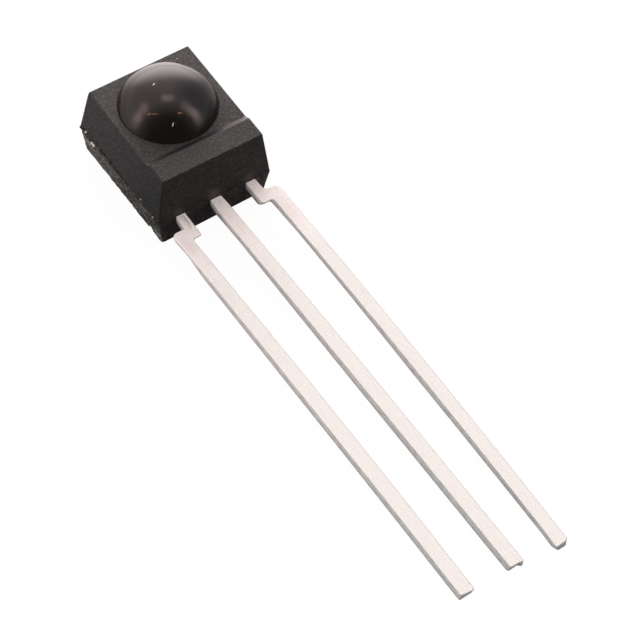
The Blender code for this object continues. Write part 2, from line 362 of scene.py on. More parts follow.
class SurfaceRecipe(Recipe):
    """Lays out a piece's material on a Principled shader, by the piece's own coordinates."""

    def __init__(self, name: str) -> None:
        """Make the material with its shader and coordinates.

        Args:
            name: The material's name.
        """
        self.material = bpy.data.materials.new(name)
        super().__init__(self.material)
        self.shader = self.node("BsdfPrincipled", {})
        self.node("OutputMaterial", {"Surface": self.shader.outputs[0]})
        coordinates = self.node("TexCoord", {}).outputs
        self.place, self.normal = coordinates["Object"], coordinates["Normal"]

    def noise(self, size: float, detail: float = 3.0, stretch: Point = (1.0, 1.0, 1.0)) -> Socket:
        """Noise over the piece.

        Args:
            size: Size of one lump in millimetres.
            detail: How many finer layers it has.
            stretch: Scale along each axis, below 1 where the lumps are long.

        Returns:
            Its value socket.
        """
        mapped = self.node("Mapping", {"Vector": self.place, "Scale": stretch}).outputs[0]
        inputs = {"Vector": mapped, "Scale": 1.0 / (size * MM), "Detail": detail}
        return self.node("TexNoise", inputs).outputs["Fac"]

    def fade(self, axis: Socket, reach: Span, start: float = 0.0, end: float = 1.0) -> Socket:
        """A soft step along an axis of the piece, over a reach in millimetres."""
        return self.ramp(axis, reach[0] * MM, reach[1] * MM, start, end)

    def mask(self, name: str) -> Socket:
        """A mask that the mesh carries."""
        return self.node("Attribute", {}, attribute_name=name).outputs["Fac"]

    def spot(self, mark: Mark) -> Socket:
        """One small mark.

        Args:
            mark: The mark.

        Returns:
            How strongly it shows, from 0 around it to its strength in the middle.
        """
        inputs = {
            "Vector": self.place,
            "Location": tuple(c * MM for c in mark.centre),
            "Rotation": (0.0, 0.0, math.radians(mark.turn)),
            "Scale": tuple(c * MM for c in mark.radii),
        }
        local = self.node("Mapping", inputs, vector_type="TEXTURE").outputs[0]
        inside = self.node("TexGradient", {0: local}, gradient_type="SPHERICAL").outputs["Fac"]
        return self.ramp(inside, 0.0, mark.soft, 0.0, mark.strength)

    def spots(self, marks: tuple[Mark, ...]) -> Socket:
        """The strongest of several marks at each place."""
        return self.most(*(self.spot(mark) for mark in marks))

    def bump(
        self, height: object, depth: float, strength: object = 1.0, under: Socket | None = None
    ) -> Socket:
        """Surface relief.

        Args:
            height: Relief from 0 to 1.
            depth: Its depth in millimetres.
            strength: Share of the relief that shows.
            under: Normal from a coarser relief, if there is one.

        Returns:
            The normal's socket.
        """
        inputs = {"Height": height, "Distance": depth * MM, "Strength": strength}
        if under is not None:
            inputs["Normal"] = under
        return self.node("Bump", inputs).outputs[0]

    def finish(self, **inputs: object) -> bpy.types.Material:
        """Feed the shader's inputs.

        Args:
            inputs: Values or sockets by the input's name, with underscores for spaces.

        Returns:
            The finished material.
        """
        for name, value in inputs.items():
            self.feed(self.shader.inputs[name.replace("_", " ")], value)
        return self.material


@dataclass(frozen=True)
class CompoundPattern:
    """The patterns that the compound's colour, gloss and relief share.

    Cloud, speck, streak and crumb are noises from coarse to fine. Exit face is 1 on the face that
    the leads leave by, and rear and pit are the mesh's masks.
    """

    facing: Sockets
    exit_face: Socket
    rear: Socket
    pit: Socket
    bluish: Socket
    cloud: Socket
    speck: Socket
    streak: Socket
    crumb: Socket


@dataclass(frozen=True)
class MattCompound:
    """Matt black moulding compound with a fine spark-eroded texture.

    It is rough and paler where the mask rear is, has painted shade with pale crumbs where the mask
    pit is, and is glossy on one fresh break by the parting line, with painted highlights on that
    break and on chips. The left wall has painted cool light with its grain, the exit face painted
    reflections of the leads above each lead, and the front field painted light from the step
    towards the far end and the right. Each span says over which values of its noise a soft step
    runs, and the painted light's two over which places.
    """

    colour: Colour = (0.0024, 0.0028, 0.003)
    speckle: Colour = (0.03, 0.031, 0.0315)
    # Painted cool light with grain on the left-facing wall.
    left_cool_light_speckle: Colour = (0.008, 0.027, 0.033)
    rear_colour: Colour = (0.061, 0.077, 0.071)
    rear_dark: Colour = (0.004, 0.0048, 0.0044)
    crumb_colour: Colour = (0.42, 0.45, 0.42)
    exit_colour: Colour = (0.002, 0.0028, 0.0026)
    # Colour of the painted reflections of the leads on the exit face.
    lead_reflection_colour: Colour = (0.045, 0.035, 0.032)
    # Painted light that the front field gets.
    painted_light_colour: Colour = (0.016, 0.0155, 0.0175)
    # Painted shade in the chips' pits.
    pit_painted_shade: Colour = (0.004, 0.004, 0.0035)
    pit_pale: Colour = (0.3, 0.31, 0.29)
    bluish_colour: Colour = (0.03, 0.042, 0.06)
    # Colour of the painted highlights.
    painted_highlight_colour: Colour = (0.8, 0.79, 0.74)
    roughness: float = 0.66
    speck_gloss: float = 0.085
    bluish_gloss: float = 0.35
    riser_gloss: float = 0.68
    dull_breaks: float = 0.4
    exit_share: float = 0.35
    cloud_share: float = 0.15
    scuff_share: float = 0.14
    index: float = 1.69
    grain_size: float = 0.085
    grain_depth: float = 0.012
    streak_depth: float = 0.03
    front_relief: float = 0.6
    speck_span: Span = (0.49, 0.68)
    left_span: Span = (0.48, 0.64)
    cloud_span: Span = (0.35, 0.7)
    streak_span: Span = (0.41, 0.6)
    crumb_span: Span = (0.55, 0.72)
    pit_shade_span: Span = (0.42, 0.54)
    pit_pale_span: Span = (0.56, 0.68)
    # Where the painted light on the front field fades in, along and across the body.
    painted_light_along: Span = (-1.5, -0.1)
    painted_light_across: Span = (-3.0, 0.5)
    painted_light_left: float = 0.45
    # Painted highlights on the fresh break, on chips of the left wall and on a speck of the field.
    bright: tuple[Mark, ...] = (
        Mark((-2.95, 2.34, 1.31), (0.4, 0.22, 0.115), soft=0.4),
        Mark((-2.98, 2.95, 1.6), (0.2, 0.06, 0.06), soft=0.4),
        Mark((-2.95, 2.3, 1.12), (0.3, 0.09, 0.06), strength=0.25),
        Mark((-2.98, -1.84, 1.68), (0.2, 0.08, 0.045), strength=0.6, soft=0.6),
        Mark((-2.99, -1.96, 1.53), (0.2, 0.06, 0.055), strength=0.5, soft=0.6),
        Mark((-3.0, -0.9, 1.5), (0.2, 0.06, 0.05), strength=0.25, soft=0.6),
        Mark((-2.97, 0.06, 1.7), (0.2, 0.06, 0.05), strength=0.25, soft=0.6),
        Mark((-2.99, -2.9, 1.49), (0.2, 0.06, 0.055), strength=0.5, soft=0.6),
        Mark((-2.9, -1.36, 0.77), (0.3, 0.06, 0.06), strength=0.3, soft=0.6),
        Mark((-2.84, -2.47, 0.28), (0.3, 0.16, 0.05), strength=0.6, soft=0.6),
        Mark((-2.87, -2.98, 0.5), (0.3, 0.07, 0.06), strength=0.35, soft=0.6),
        Mark((1.869, 2.846, 3.93), (0.05, 0.05, 0.05), strength=0.3),
    )
    bluish: tuple[Mark, ...] = (Mark((-2.95, 2.42, 1.14), (0.3, 0.26, 0.17), strength=0.9),)
    # Painted reflections of the bright leads on the exit face, just above each lead.
    haze: tuple[Mark, ...] = (
        Mark((-1.95, -3.4, 1.75), (0.42, 0.3, 0.36), strength=0.6, soft=0.95),
        Mark((-0.02, -3.4, 1.85), (0.5, 0.3, 0.46), strength=0.8, soft=0.95),
        Mark((1.85, -3.4, 1.8), (0.42, 0.3, 0.42), strength=0.7, soft=0.95),
    )
    scuffed: tuple[Mark, ...] = (
        Mark((-2.8, -3.2, 0.4), (0.4, 0.6, 0.45), strength=0.8, soft=0.9),
        Mark((-2.9, 2.8, 0.95), (0.4, 0.6, 0.5), strength=1.0, soft=0.9),
    )

    def make(self) -> bpy.types.Material:
        """Build the material.

        Returns:
            The material.
        """
        r = SurfaceRecipe("matt_compound")
        facing = r.axes(r.normal)
        p = CompoundPattern(
            facing=facing,
            exit_face=r.ramp(facing["Y"], -0.6, -0.95),
            rear=r.mask("rear"),
            pit=r.mask("pit"),
            bluish=r.spots(self.bluish),
            cloud=r.noise(0.9, 4.0),
            speck=r.noise(self.grain_size, 3.0),
            streak=r.noise(0.22, 4.0, (1.0, 0.5, 1.0)),
            crumb=r.noise(0.07, 3.0),
        )
        shade = r.blend(p.rear, self.skin_shade(r, p), self.rear_shade(r, p))
        return r.finish(
            Base_Color=self.broken_shade(r, p, shade),
            Roughness=self.gloss(r, p),
            Normal=self.relief(r, p),
            IOR=self.index,
        )

    def skin_shade(self, r: SurfaceRecipe, p: CompoundPattern) -> Socket:
        """Colour of the moulded skin.

        Args:
            r: The material.
            p: The shared patterns.

        Returns:
            The colour's socket.
        """
        shade = r.layers(
            self.colour,
            (r.ramp(p.speck, *self.speck_span), self.speckle),
            (r.ramp(p.cloud, *self.cloud_span, 0.0, self.cloud_share), self.speckle),
            # Painted cool light with grain on the left-facing wall.
            (
                r.times(r.ramp(p.facing["X"], -0.6, -0.9), r.ramp(p.speck, *self.left_span)),
                self.left_cool_light_speckle,
            ),
            (r.times(p.exit_face, self.exit_share), self.exit_colour),
            # Painted reflections of the leads on the exit face, above each lead.
            (r.times(p.exit_face, r.spots(self.haze)), self.lead_reflection_colour),
        )
        # Painted light: the upward faces get lighter from the step towards the far end and the
        # right.
        across, along, _ = r.axes(r.place)
        painted_light = r.times(
            r.ramp(p.facing["Z"], 0.95, 0.99),
            r.fade(along, self.painted_light_along),
            r.fade(across, self.painted_light_across, self.painted_light_left),
        )
        return r.blend(painted_light, shade, self.painted_light_colour, "ADD")

    def rear_shade(self, r: SurfaceRecipe, p: CompoundPattern) -> Socket:
        """Colour of the rough rear half, with pale crumbs where it is scuffed.

        Args:
            r: The material.
            p: The shared patterns.

        Returns:
            The colour's socket.
        """
        worn = r.math("ADD", p.crumb, r.times(r.spots(self.scuffed), self.scuff_share))
        return r.layers(
            self.rear_dark,
            (r.ramp(p.streak, *self.streak_span), self.rear_colour),
            (r.ramp(worn, *self.crumb_span), self.crumb_colour),
        )

    def broken_shade(self, r: SurfaceRecipe, p: CompoundPattern, shade: Socket) -> Socket:
        """Lay the pits with painted shade, the fresh break and painted highlights over a colour.

        Args:
            r: The material.
            p: The shared patterns.
            shade: The colour below them.

        Returns:
            The colour's socket.
        """
        return r.layers(
            shade,
            # Painted shade in the pits, under their pale crumbs.
            (r.times(p.pit, r.ramp(p.crumb, *self.pit_shade_span)), self.pit_painted_shade),
            (r.times(p.pit, r.ramp(p.crumb, *self.pit_pale_span)), self.pit_pale),
            (p.bluish, self.bluish_colour),
            # Painted highlights on the fresh break and the chips.
            (r.spots(self.bright), self.painted_highlight_colour),
        )

    def gloss(self, r: SurfaceRecipe, p: CompoundPattern) -> Socket:
        """Roughness: glossier specks, step and fresh break, and duller exit face and pits.

        Args:
            r: The material.
            p: The shared patterns.

        Returns:
            The roughness's socket.
        """
        step = r.times(r.ramp(p.facing["Y"], 0.2, 0.45), r.ramp(p.facing["Z"], 0.4, 0.7))
        rough = r.ramp(p.cloud, 0.2, 0.8, self.roughness - 0.04, self.roughness + 0.05)
        specks = r.ramp(p.speck, 0.36, 0.64, self.speck_gloss, -self.speck_gloss)
        rough = r.times(
            r.math("ADD", rough, specks),
            r.ramp(p.bluish, 0.0, 1.0, 1.0, self.bluish_gloss),
            r.ramp(step, 0.0, 1.0, 1.0, self.riser_gloss),
        )
        dull = r.most(r.times(p.exit_face, self.exit_share), p.pit)
        return r.math("ADD", rough, r.times(dull, self.dull_breaks))

    def relief(self, r: SurfaceRecipe, p: CompoundPattern) -> Socket:
        """Relief: streaks and crumbs on the rear half, under the fine grain.

        Args:
            r: The material.
            p: The shared patterns.

        Returns:
            The normal's socket.
        """
        lumps = r.math("ADD", p.streak, r.times(p.crumb, 0.5))
        coarse = r.bump(lumps, self.streak_depth, p.rear)
        fine = r.ramp(p.facing["Z"], 0.4, 0.9, 1.0, self.front_relief)
        return r.bump(p.speck, self.grain_depth, fine, coarse)


@dataclass(frozen=True)
class PolishedLens:
    """The lens: the same compound from a polished mould, smoky and glossy, with a few marks."""

    colour: Colour = (0.0062, 0.0055, 0.0051)
    smoky: float = 1.5
    glint_colour: Colour = (0.7, 0.3, 0.12)
    scratch_colour: Colour = (0.85, 0.85, 0.82)
    roughness: float = 0.17
    index: float = 1.55
    peel_size: float = 0.06
    peel_depth: float = 0.0028
    glints: tuple[Mark, ...] = (
        Mark((-1.31, -0.17, 4.95), (0.36, 0.04, 0.3), -42.0, 0.2),
        Mark((-1.466, -0.042, 4.91), (0.08, 0.045, 0.2), -42.0, 0.5),
        Mark((-0.28, -0.8, 5.02), (0.14, 0.045, 0.2), -24.0, 0.4),
    )
    scratches: tuple[Mark, ...] = (
        Mark((-0.578, 0.964, 5.508), (0.09, 0.045, 0.2), 15.0, 0.75),
        Mark((-0.745, -0.976, 4.707), (0.12, 0.028, 0.16), 35.0, 0.85),
    )

    def make(self) -> bpy.types.Material:
        """Build the material.

        Returns:
            The material.
        """
        r = SurfaceRecipe("polished_lens")
        haze = r.noise(1.2, 3.0)
        glint = r.times(r.spots(self.glints), r.ramp(r.noise(0.07, 2.0), 0.35, 0.6, 0.35, 1.0))
        scratch = r.spots(self.scratches)
        shade = r.layers(
            self.colour,
            (r.ramp(haze, 0.3, 0.7), tuple(self.smoky * c for c in self.colour)),
            (glint, self.glint_colour),
            (scratch, self.scratch_colour),
        )
        rough = r.ramp(haze, 0.2, 0.8, self.roughness, self.roughness + 0.04)
        return r.finish(
            Base_Color=shade,
            Roughness=r.math("ADD", rough, scratch),
            Normal=r.bump(r.noise(self.peel_size, 2.0), self.peel_depth, 0.6),
            IOR=self.index,
        )


@dataclass(frozen=True)
class MattTin:
    """Matt tin plating on stamped strip: pale faces, greyer sheared edges, smudges near the body.

    The faces have painted light towards the body. The tints multiply what lies below them; those
    on the sides, the right-facing rims, the low edges and the jog are painted shade. Each reach is
    a span along the lead or in height.
    """

    face: Colour = (0.815, 0.855, 0.835)
    # Painted light: the faces' colour towards the body, lighter than at the tips.
    root: Colour = (0.99, 0.985, 0.975)
    edge: Colour = (0.93, 0.96, 0.96)
    edge_dark: Colour = (0.72, 0.75, 0.755)
    # Painted shade on right-facing rims, along the bottom of the sheared sides and at the jog.
    painted_shade_tint: Colour = (0.36, 0.33, 0.31)
    # Painted shade on the sheared sides, fading out towards the body.
    side_shade_tint: Colour = (0.86, 0.87, 0.87)
    tip_tint: Colour = (0.84, 0.91, 0.92)
    cut_tint: Colour = (0.66, 0.62, 0.65)
    drawn_colour: Colour = (0.66, 0.62, 0.6)
    speck_colour: Colour = (0.62, 0.6, 0.585)
    groove_colour: Colour = (0.32, 0.29, 0.28)
    smudge: Colour = (0.5, 0.44, 0.43)
    metallic: float = 0.1
    roughness: float = 0.5
    groove_depth: float = 0.04
    grain_depth: float = 0.006
    root_reach: Span = (-9.0, -4.5)
    tip_reach: Span = (-27.7, -9.0)
    # Where painted shade lies: on the sides at the jog, along the lead and in height, and along the
    # bottom of the sheared sides.
    jog_shade_reach: Span = (-5.0, -4.2)
    jog_shade_height: Span = (1.1, 1.45)
    low_edge_shade: Span = (1.06, 1.26)
    groove: tuple[Mark, ...] = (
        Mark((-1.8, -3.92, 1.5), (0.03, 0.5, 0.2), -2.0, 0.8),
        Mark((-1.92, -4.1, 1.5), (0.05, 0.5, 0.2), 4.0, 0.25),
    )
    smudges: tuple[Mark, ...] = (
        Mark((0.06, -3.72, 1.5), (0.3, 0.3, 0.1), 20.0, 0.15, 0.9),
        Mark((0.2, -3.6, 1.5), (0.15, 0.16, 0.1), 0.0, 0.25, 0.9),
        Mark((2.0, -3.68, 1.5), (0.2, 0.26, 0.1), 0.0, 0.15, 0.9),
        Mark((-1.86, -3.68, 1.5), (0.2, 0.34, 0.1), 0.0, 0.55, 0.9),
        Mark((1.98, -4.15, 1.5), (0.24, 0.4, 0.1), 0.0, 0.12, 0.9),
    )
    dull: tuple[Mark, ...] = (
        Mark((2.55, -5.8, 1.5), (0.6, 1.7, 0.2), 0.0, 0.26, 0.9),
        Mark((-2.5, -5.3, 1.5), (0.45, 1.0, 0.2), 0.0, 0.18, 0.9),
    )

    def make(self) -> bpy.types.Material:
        """Build the material.

        Returns:
            The material.
        """
        r = SurfaceRecipe("matt_tin")
        facing = r.axes(r.normal)
        fine_grain, drawn = r.noise(0.075, 4.0), r.noise(0.14, 3.0, (1.0, 0.2, 1.0))
        near_root = r.fade(r.axes(r.place)["Y"], self.root_reach)
        flat = r.ramp(r.math("ABSOLUTE", facing["Z"]), 0.5, 0.95)
        # Painted light: the faces blend to the lighter root colour towards the body.
        face = r.blend(near_root, self.face, self.root)
        shade = r.blend(flat, self.sheared_shade(r, facing["Y"], near_root), face)
        # Painted shade on the rims that face right.
        rim = r.times(r.ramp(facing["X"], 0.12, 0.5), r.ramp(facing["Z"], 0.05, 0.35))
        shade = r.blend(rim, shade, self.painted_shade_tint, "MULTIPLY")
        specks = r.ramp(fine_grain, 0.46, 0.68, 0.0, 0.4)
        patches = r.ramp(r.noise(0.16, 3.0), 0.4, 0.6, 0.3, 1.0)
        groove = r.spots(self.groove)
        shade = r.layers(
            shade,
            (r.ramp(drawn, 0.5, 0.75, 0.0, 0.2), self.drawn_colour),
            (r.times(specks, r.ramp(near_root, 0.0, 1.0, 1.0, 0.8)), self.speck_colour),
            (r.times(r.spots(self.smudges), patches), self.smudge),
            (r.spots(self.dull), self.smudge),
            (groove, self.groove_colour),
        )
        pressed = r.bump(r.math("SUBTRACT", 1.0, groove), self.groove_depth, 0.8)
        coarse = r.bump(drawn, self.grain_depth, 0.6, pressed)
        return r.finish(
            Base_Color=shade,
            Roughness=r.ramp(fine_grain, 0.25, 0.75, self.roughness - 0.06, self.roughness + 0.1),
            Normal=r.bump(fine_grain, self.grain_depth, 0.7, coarse),
            Metallic=self.metallic,
        )

    def sheared_shade(self, r: SurfaceRecipe, end_on: Socket, near_root: Socket) -> Socket:
        """Colour of the sheared sides and cut ends.

        Args:
            r: The material.
            end_on: The surface normal's part along the lead.
            near_root: Share from 0 by the tips to 1 by the body.

        Returns:
            The colour's socket.
        """
        _, along, height = r.axes(r.place)
        crumbs = r.noise(0.2, 4.0, (1.0, 0.5, 1.0))
        # Painted shade on the sheared sides at the jog, darker low down.
        jog_shade = r.times(r.fade(height, self.jog_shade_height, 0.85, 0.0), r.fade(along, self.jog_shade_reach))
        return r.layers(
            r.blend(r.ramp(crumbs, 0.35, 0.7), self.edge, self.edge_dark),
            # Painted shade on the sheared sides, fading out towards the body.
            (r.ramp(near_root, 0.0, 1.0, 1.0, 0.0), self.side_shade_tint),
            (r.fade(along, self.tip_reach, 1.0, 0.0), self.tip_tint),
            # Painted shade along the bottom of the sheared sides and at the jog.
            (r.fade(height, self.low_edge_shade, 0.5, 0.0), self.painted_shade_tint),
            (jog_shade, self.painted_shade_tint),
            (r.ramp(end_on, -0.55, -0.85), self.cut_tint),
            kind="MULTIPLY",
        )


@dataclass(frozen=True)
class InnerFinish:
    """A finish of a sealed piece: two tones of one material with a fine relief.

    Lump is the size in millimetres of its patches.
    """

    name: str
    light: Colour
    dark: Colour
    roughness: float
    metallic: float
    lump: float

    def make(self) -> bpy.types.Material:
        """Build the material.

        Returns:
            The material.
        """
        r = SurfaceRecipe(self.name)
        lumps = r.noise(self.lump, 3.0)
        return r.finish(
            Base_Color=r.blend(r.ramp(lumps, 0.35, 0.65), self.light, self.dark),
            Roughness=r.ramp(lumps, 0.3, 0.7, self.roughness, self.roughness + 0.1),
            Normal=r.bump(lumps, self.lump / 40.0, 0.5),
            Metallic=self.metallic,
        )


@dataclass(frozen=True)
class Section:
    """A level outline of the body: a rectangle with four rounded corners.

    The radii go round from the lead end's left corner by its right one to the far left one.
    """

    half_width: float
    half_height: float
    radii: tuple[float, float, float, float]


class Perimeter:
    """Samples sections at matching places, so that they can be joined into walls and faces."""

    def __init__(self, across: np.ndarray, along: np.ndarray, turns: int) -> None:
        """Set the samples.

        Args:
            across: Rising shares from 0 to 1 along the two ends.
            along: Rising shares from 0 to 1 along the two sides.
            turns: Steps round each corner.
        """
        self.across, self.along, self.turns = across, along, turns
        self.top_first = len(across) + len(along) + 2 * (turns - 1)
        self.size = 2 * self.top_first

    def trace(self, section: Section) -> tuple[np.ndarray, np.ndarray]:
        """Sample one section.

        Args:
            section: The outline.

        Returns:
            Its points and outward normals, counter-clockwise from the lead end's left corner.
        """
        w, h = section.half_width, section.half_height
        low_left, low_right, high_right, high_left = section.radii
        points: list[tuple[float, float]] = []
        turns: list[float] = []

        def side(start: Span, end: Span, shares: np.ndarray, angle: float) -> None:
            """Add a straight side.

            Args:
                start: Its first point.
                end: Its last point.
                shares: Where the samples lie between them.
                angle: The angle of its normal.
            """
            across, along = end[0] - start[0], end[1] - start[1]
            for share in shares:
                points.append((start[0] + across * share, start[1] + along * share))
                turns.append(angle)

        def corner(x: float, y: float, radius: float, start: float) -> None:
            """Add the inner points of a rounded corner.

            Args:
                x: X of its centre.
                y: Y of its centre.
                radius: Its radius.
                start: The angle at which it starts.
            """
            for angle in np.linspace(start, start + math.pi / 2, self.turns + 1)[1:-1]:
                points.append((x + radius * math.cos(angle), y + radius * math.sin(angle)))
                turns.append(angle)

        quarter = math.pi / 2
        side((low_left - w, -h), (w - low_right, -h), self.across, -quarter)
        corner(w - low_right, low_right - h, low_right, -quarter)
        side((w, low_right - h), (w, h - high_right), self.along, 0.0)
        corner(w - high_right, h - high_right, high_right, 0.0)
        side((w - high_right, h), (high_left - w, h), 1.0 - self.across[::-1], quarter)
        corner(high_left - w, h - high_left, high_left, quarter)
        side((-w, h - high_left), (-w, low_left - h), 1.0 - self.along[::-1], 2 * quarter)
        corner(low_left - w, low_left - h, low_left, 2 * quarter)
        angles = np.array(turns)
        return np.array(points), np.stack([np.cos(angles), np.sin(angles)], axis=1)

    def fill(self, ring: np.ndarray) -> np.ndarray:
        """Fill a ring with rows that run from its left side to its right one.

        Args:
            ring: The ring's points, N by 2.

        Returns:
            Rows by columns by 2 points.
        """
        right = np.arange(len(self.across) - 1, self.top_first + 1)
        left = np.concatenate([[0], np.arange(self.size - 1, self.size - len(right), -1)])
        shares = self.across[None, :, None]
        return ring[left][:, None] + (ring[right] - ring[left])[:, None] * shares


@dataclass(frozen=True)
class Chip:
    """A small break or raised nib on the left wall, by the parting line, with painted shade where
    pit is high.
    """

    y: float
    z: float
    length: float
    height: float
    rise: float
    pit: float = 0.0


CHIPS = (
    Chip(3.36, 1.5, 0.1, 0.06, 0.03),
    Chip(3.1, 1.64, 0.12, 0.06, -0.04, 0.6),
    Chip(2.9, 1.5, 0.16, 0.08, 0.05),
    Chip(2.84, 1.62, 0.1, 0.06, -0.05, 1.0),
    Chip(2.62, 1.5, 0.2, 0.11, 0.06),
    Chip(2.62, 1.34, 0.1, 0.07, -0.08, 1.0),
    Chip(2.4, 1.28, 0.24, 0.07, 0.03),
    Chip(2.2, 1.5, 0.16, 0.1, -0.12, 1.0),
    Chip(2.3, 1.08, 0.2, 0.12, -0.05, 0.2),
    Chip(2.05, 1.66, 0.14, 0.08, 0.05),
    Chip(1.9, 1.56, 0.17, 0.09, -0.1, 1.0),
    Chip(1.62, 1.42, 0.14, 0.08, -0.08, 1.0),
    Chip(1.45, 1.63, 0.17, 0.1, -0.1, 1.0),
    Chip(1.13, 1.56, 0.19, 0.12, -0.12, 1.0),
    Chip(0.93, 1.69, 0.08, 0.05, 0.04),
    Chip(0.75, 1.62, 0.16, 0.1, -0.11, 1.0),
    Chip(0.42, 1.63, 0.19, 0.09, -0.11, 1.0),
    Chip(0.08, 1.6, 0.19, 0.08, -0.1, 1.0),
    Chip(-0.22, 1.56, 0.18, 0.07, -0.09, 1.0),
    Chip(-0.55, 1.56, 0.22, 0.06, -0.07, 0.9),
    Chip(-0.9, 1.52, 0.2, 0.07, -0.09, 1.0),
    Chip(-1.3, 1.54, 0.24, 0.045, -0.06, 0.9),
    Chip(-1.7, 1.52, 0.2, 0.045, -0.06, 0.9),
    Chip(-1.92, 1.6, 0.12, 0.05, 0.04),
    Chip(-2.04, 1.44, 0.1, 0.06, 0.03),
    Chip(-2.3, 1.52, 0.22, 0.045, -0.07, 0.9),
    Chip(-2.75, 1.54, 0.24, 0.045, -0.07, 0.9),
    Chip(-2.86, 1.38, 0.07, 0.06, 0.03),
    Chip(-2.4, 0.08, 0.2, 0.14, -0.08),
)


@dataclass(frozen=True)
class WallLines:
    """Outlines that the walls run through, at matching samples.

    Back is level with the back face, parting with the parting line, and top above the band. The
    inner two are set in by the rounding of the front edge.
    """

    outward: np.ndarray
    back: np.ndarray
    parting: np.ndarray
    top: np.ndarray
    inner_parting: np.ndarray
    inner_top: np.ndarray


# Heights of the close rings of the wall, from the parting line.
LINE_STEPS = (-0.08, -0.055, -0.035, -0.018, 0.0, 0.018, 0.035, 0.055, 0.08, 0.105)
LINE_STEPS += (0.13, 0.16, 0.19, 0.24, 0.3)


@dataclass(frozen=True)
class MouldedBody:
    """The moulded block with its raised band, step, field and lens.

    Parting, field and band are heights above the back face, and the drafts are in degrees. Foot is
    how far the lead end stands out at the back at foot_from in X, and how much more per millimetre
    to the right of it. Lengthwise are the samples before, on and after the step.
    """

    width: float = 6.08
    height: float = 6.9
    parting: float = 1.5
    field: float = 3.93
    band: float = 4.16
    side_draft: float = 7.4
    end_draft: float = 4.8
    back_draft: float = 7.4
    parting_radius: float = 0.08
    front_radius: float = 0.07
    worn_radius: float = 0.1
    back_radius: float = 0.17
    foot: Span = (0.187, -0.028)
    foot_from: float = -2.3
    foot_reach: Span = (-1.5, -3.1)
    back_edge: float = 0.1
    front_edge: float = 0.05
    left_edge: float = 0.03
    worn_edge: float = 0.17
    worn_reach: float = 0.55
    step_top: float = -2.07
    step_foot: float = -1.73
    crest_radius: float = 0.08
    hollow_radius: float = 0.04
    lens_x: float = 0.04
    lens_y: float = 0.703
    lens_radius: float = 2.5
    lens_rise: float = 1.67
    base_ease: float = 0.12
    flash: float = 0.03
    flash_width: float = 0.035
    least_radius: float = 0.02
    above_band: float = 0.5
    rear_relief: float = 0.025
    rear_setback: float = 0.012
    rear_smooth: float = 0.15
    lengthwise: tuple[int, int, int] = (34, 40, 132)
    crosswise: int = 81
    corner_steps: int = 8
    lens_steps: tuple[int, int] = (72, 192)
    ease_turn: float = 147.0

    @property
    def lift(self) -> float:
        """Height of the top outline above the parting line."""
        return self.band + self.above_band - self.parting

    def samples(self) -> Perimeter:
        """Place the samples, close together at the step and evenly elsewhere.

        Returns:
            The samples.
        """
        low = self.parting_radius - self.height / 2
        length = self.height - 2 * self.parting_radius
        marks = (low, self.step_top - 0.1, self.step_foot + 0.1, low + length)
        before, step, after = (
            np.linspace(start, end, count)
            for start, end, count in zip(marks, marks[1:], self.lengthwise)
        )
        y = np.concatenate([before[:-1], step[:-1], after])
        across = np.linspace(0.0, 1.0, self.crosswise)
        return Perimeter(across, (y - low) / length, self.corner_steps)

    def front_height(self, y: np.ndarray) -> tuple[np.ndarray, np.ndarray]:
        """The front's height and slope.

        Args:
            y: Places along the body.

        Returns:
            The height at each place, and its slope along Y.
        """
        run, drop = self.step_foot - self.step_top, self.band - self.field
        r, q = self.crest_radius, self.hollow_radius
        fall = math.atan2(drop, run)
        top = self.step_top - r * math.tan(fall / 2)
        foot = self.step_foot + q * math.tan(fall / 2)
        over = np.clip(y - top, 0.0, r * math.sin(fall))
        under = np.clip(foot - y, 0.0, q * math.sin(fall))
        crest = self.band - r + np.sqrt(r * r - over * over)
        hollow = self.field + q - np.sqrt(q * q - under * under)
        straight = self.band - (y - self.step_top) * drop / run
        on_crest = y < top + r * math.sin(fall)
        on_slope = ~on_crest & (y < foot - q * math.sin(fall))
        z = np.where(on_crest, crest, np.where(on_slope, straight, hollow))
        slope_crest = -over / np.sqrt(r * r - over * over)
        slope_hollow = -under / np.sqrt(q * q - under * under)
        slope = np.where(on_crest, slope_crest, np.where(on_slope, -drop / run, slope_hollow))
        return z, slope

    def relief(
        self, points: np.ndarray, outward: np.ndarray
    ) -> tuple[np.ndarray, dict[str, np.ndarray]]:
        """Flash, chips and roughness on the walls.

        Args:
            points: N by 3 points on the wall.
            outward: N by 2 level normals there.

        Returns:
            How far each point stands out, and the masks rear and pit.
        """
        y, z = points[:, 1], points[:, 2]
        # Ragged flash along the parting line, trimmed where the leads leave.
        near_line = np.exp(-(((z - self.parting) / self.flash_width) ** 2))
        ragged = grain(points * (1.0, 1.0, 0.3), 0.35) + 0.6 * grain(points, 0.12, 7.0)
        rise = self.flash * near_line * np.clip(0.5 + ragged, 0.0, 1.6)
        rise *= 1.0 - 0.8 * smooth(-outward[:, 1], 0.5, 0.9)
        # The rear half is rough, most of all on the left wall.
        rear = smooth(z, self.parting + 0.02, self.parting - 0.05)
        left = smooth(-outward[:, 0], 0.5, 0.9)
        rear *= self.rear_smooth + (1.0 - self.rear_smooth) * left
        rough = grain(points * (1.0, 0.6, 1.0), 0.2, 3.0) + 0.6 * grain(points, 0.08, 5.0)
        rise += rear * (self.rear_relief * rough - self.rear_setback)
        # Chips and nibs with ragged outlines.
        pit = np.zeros(len(points))
        ragged = 0.35 * grain(points, 0.09, 11.0) + 0.5 * grain(points, 0.05, 13.0)
        for chip in CHIPS:
            away = ((y - chip.y) / chip.length) ** 2 + ((z - chip.z) / chip.height) ** 2 + ragged
            share = left * smooth(away, 1.5, 0.6)
            rise += chip.rise * share
            pit = np.maximum(pit, chip.pit * share)
        return rise, {"rear": rear, "pit": pit}

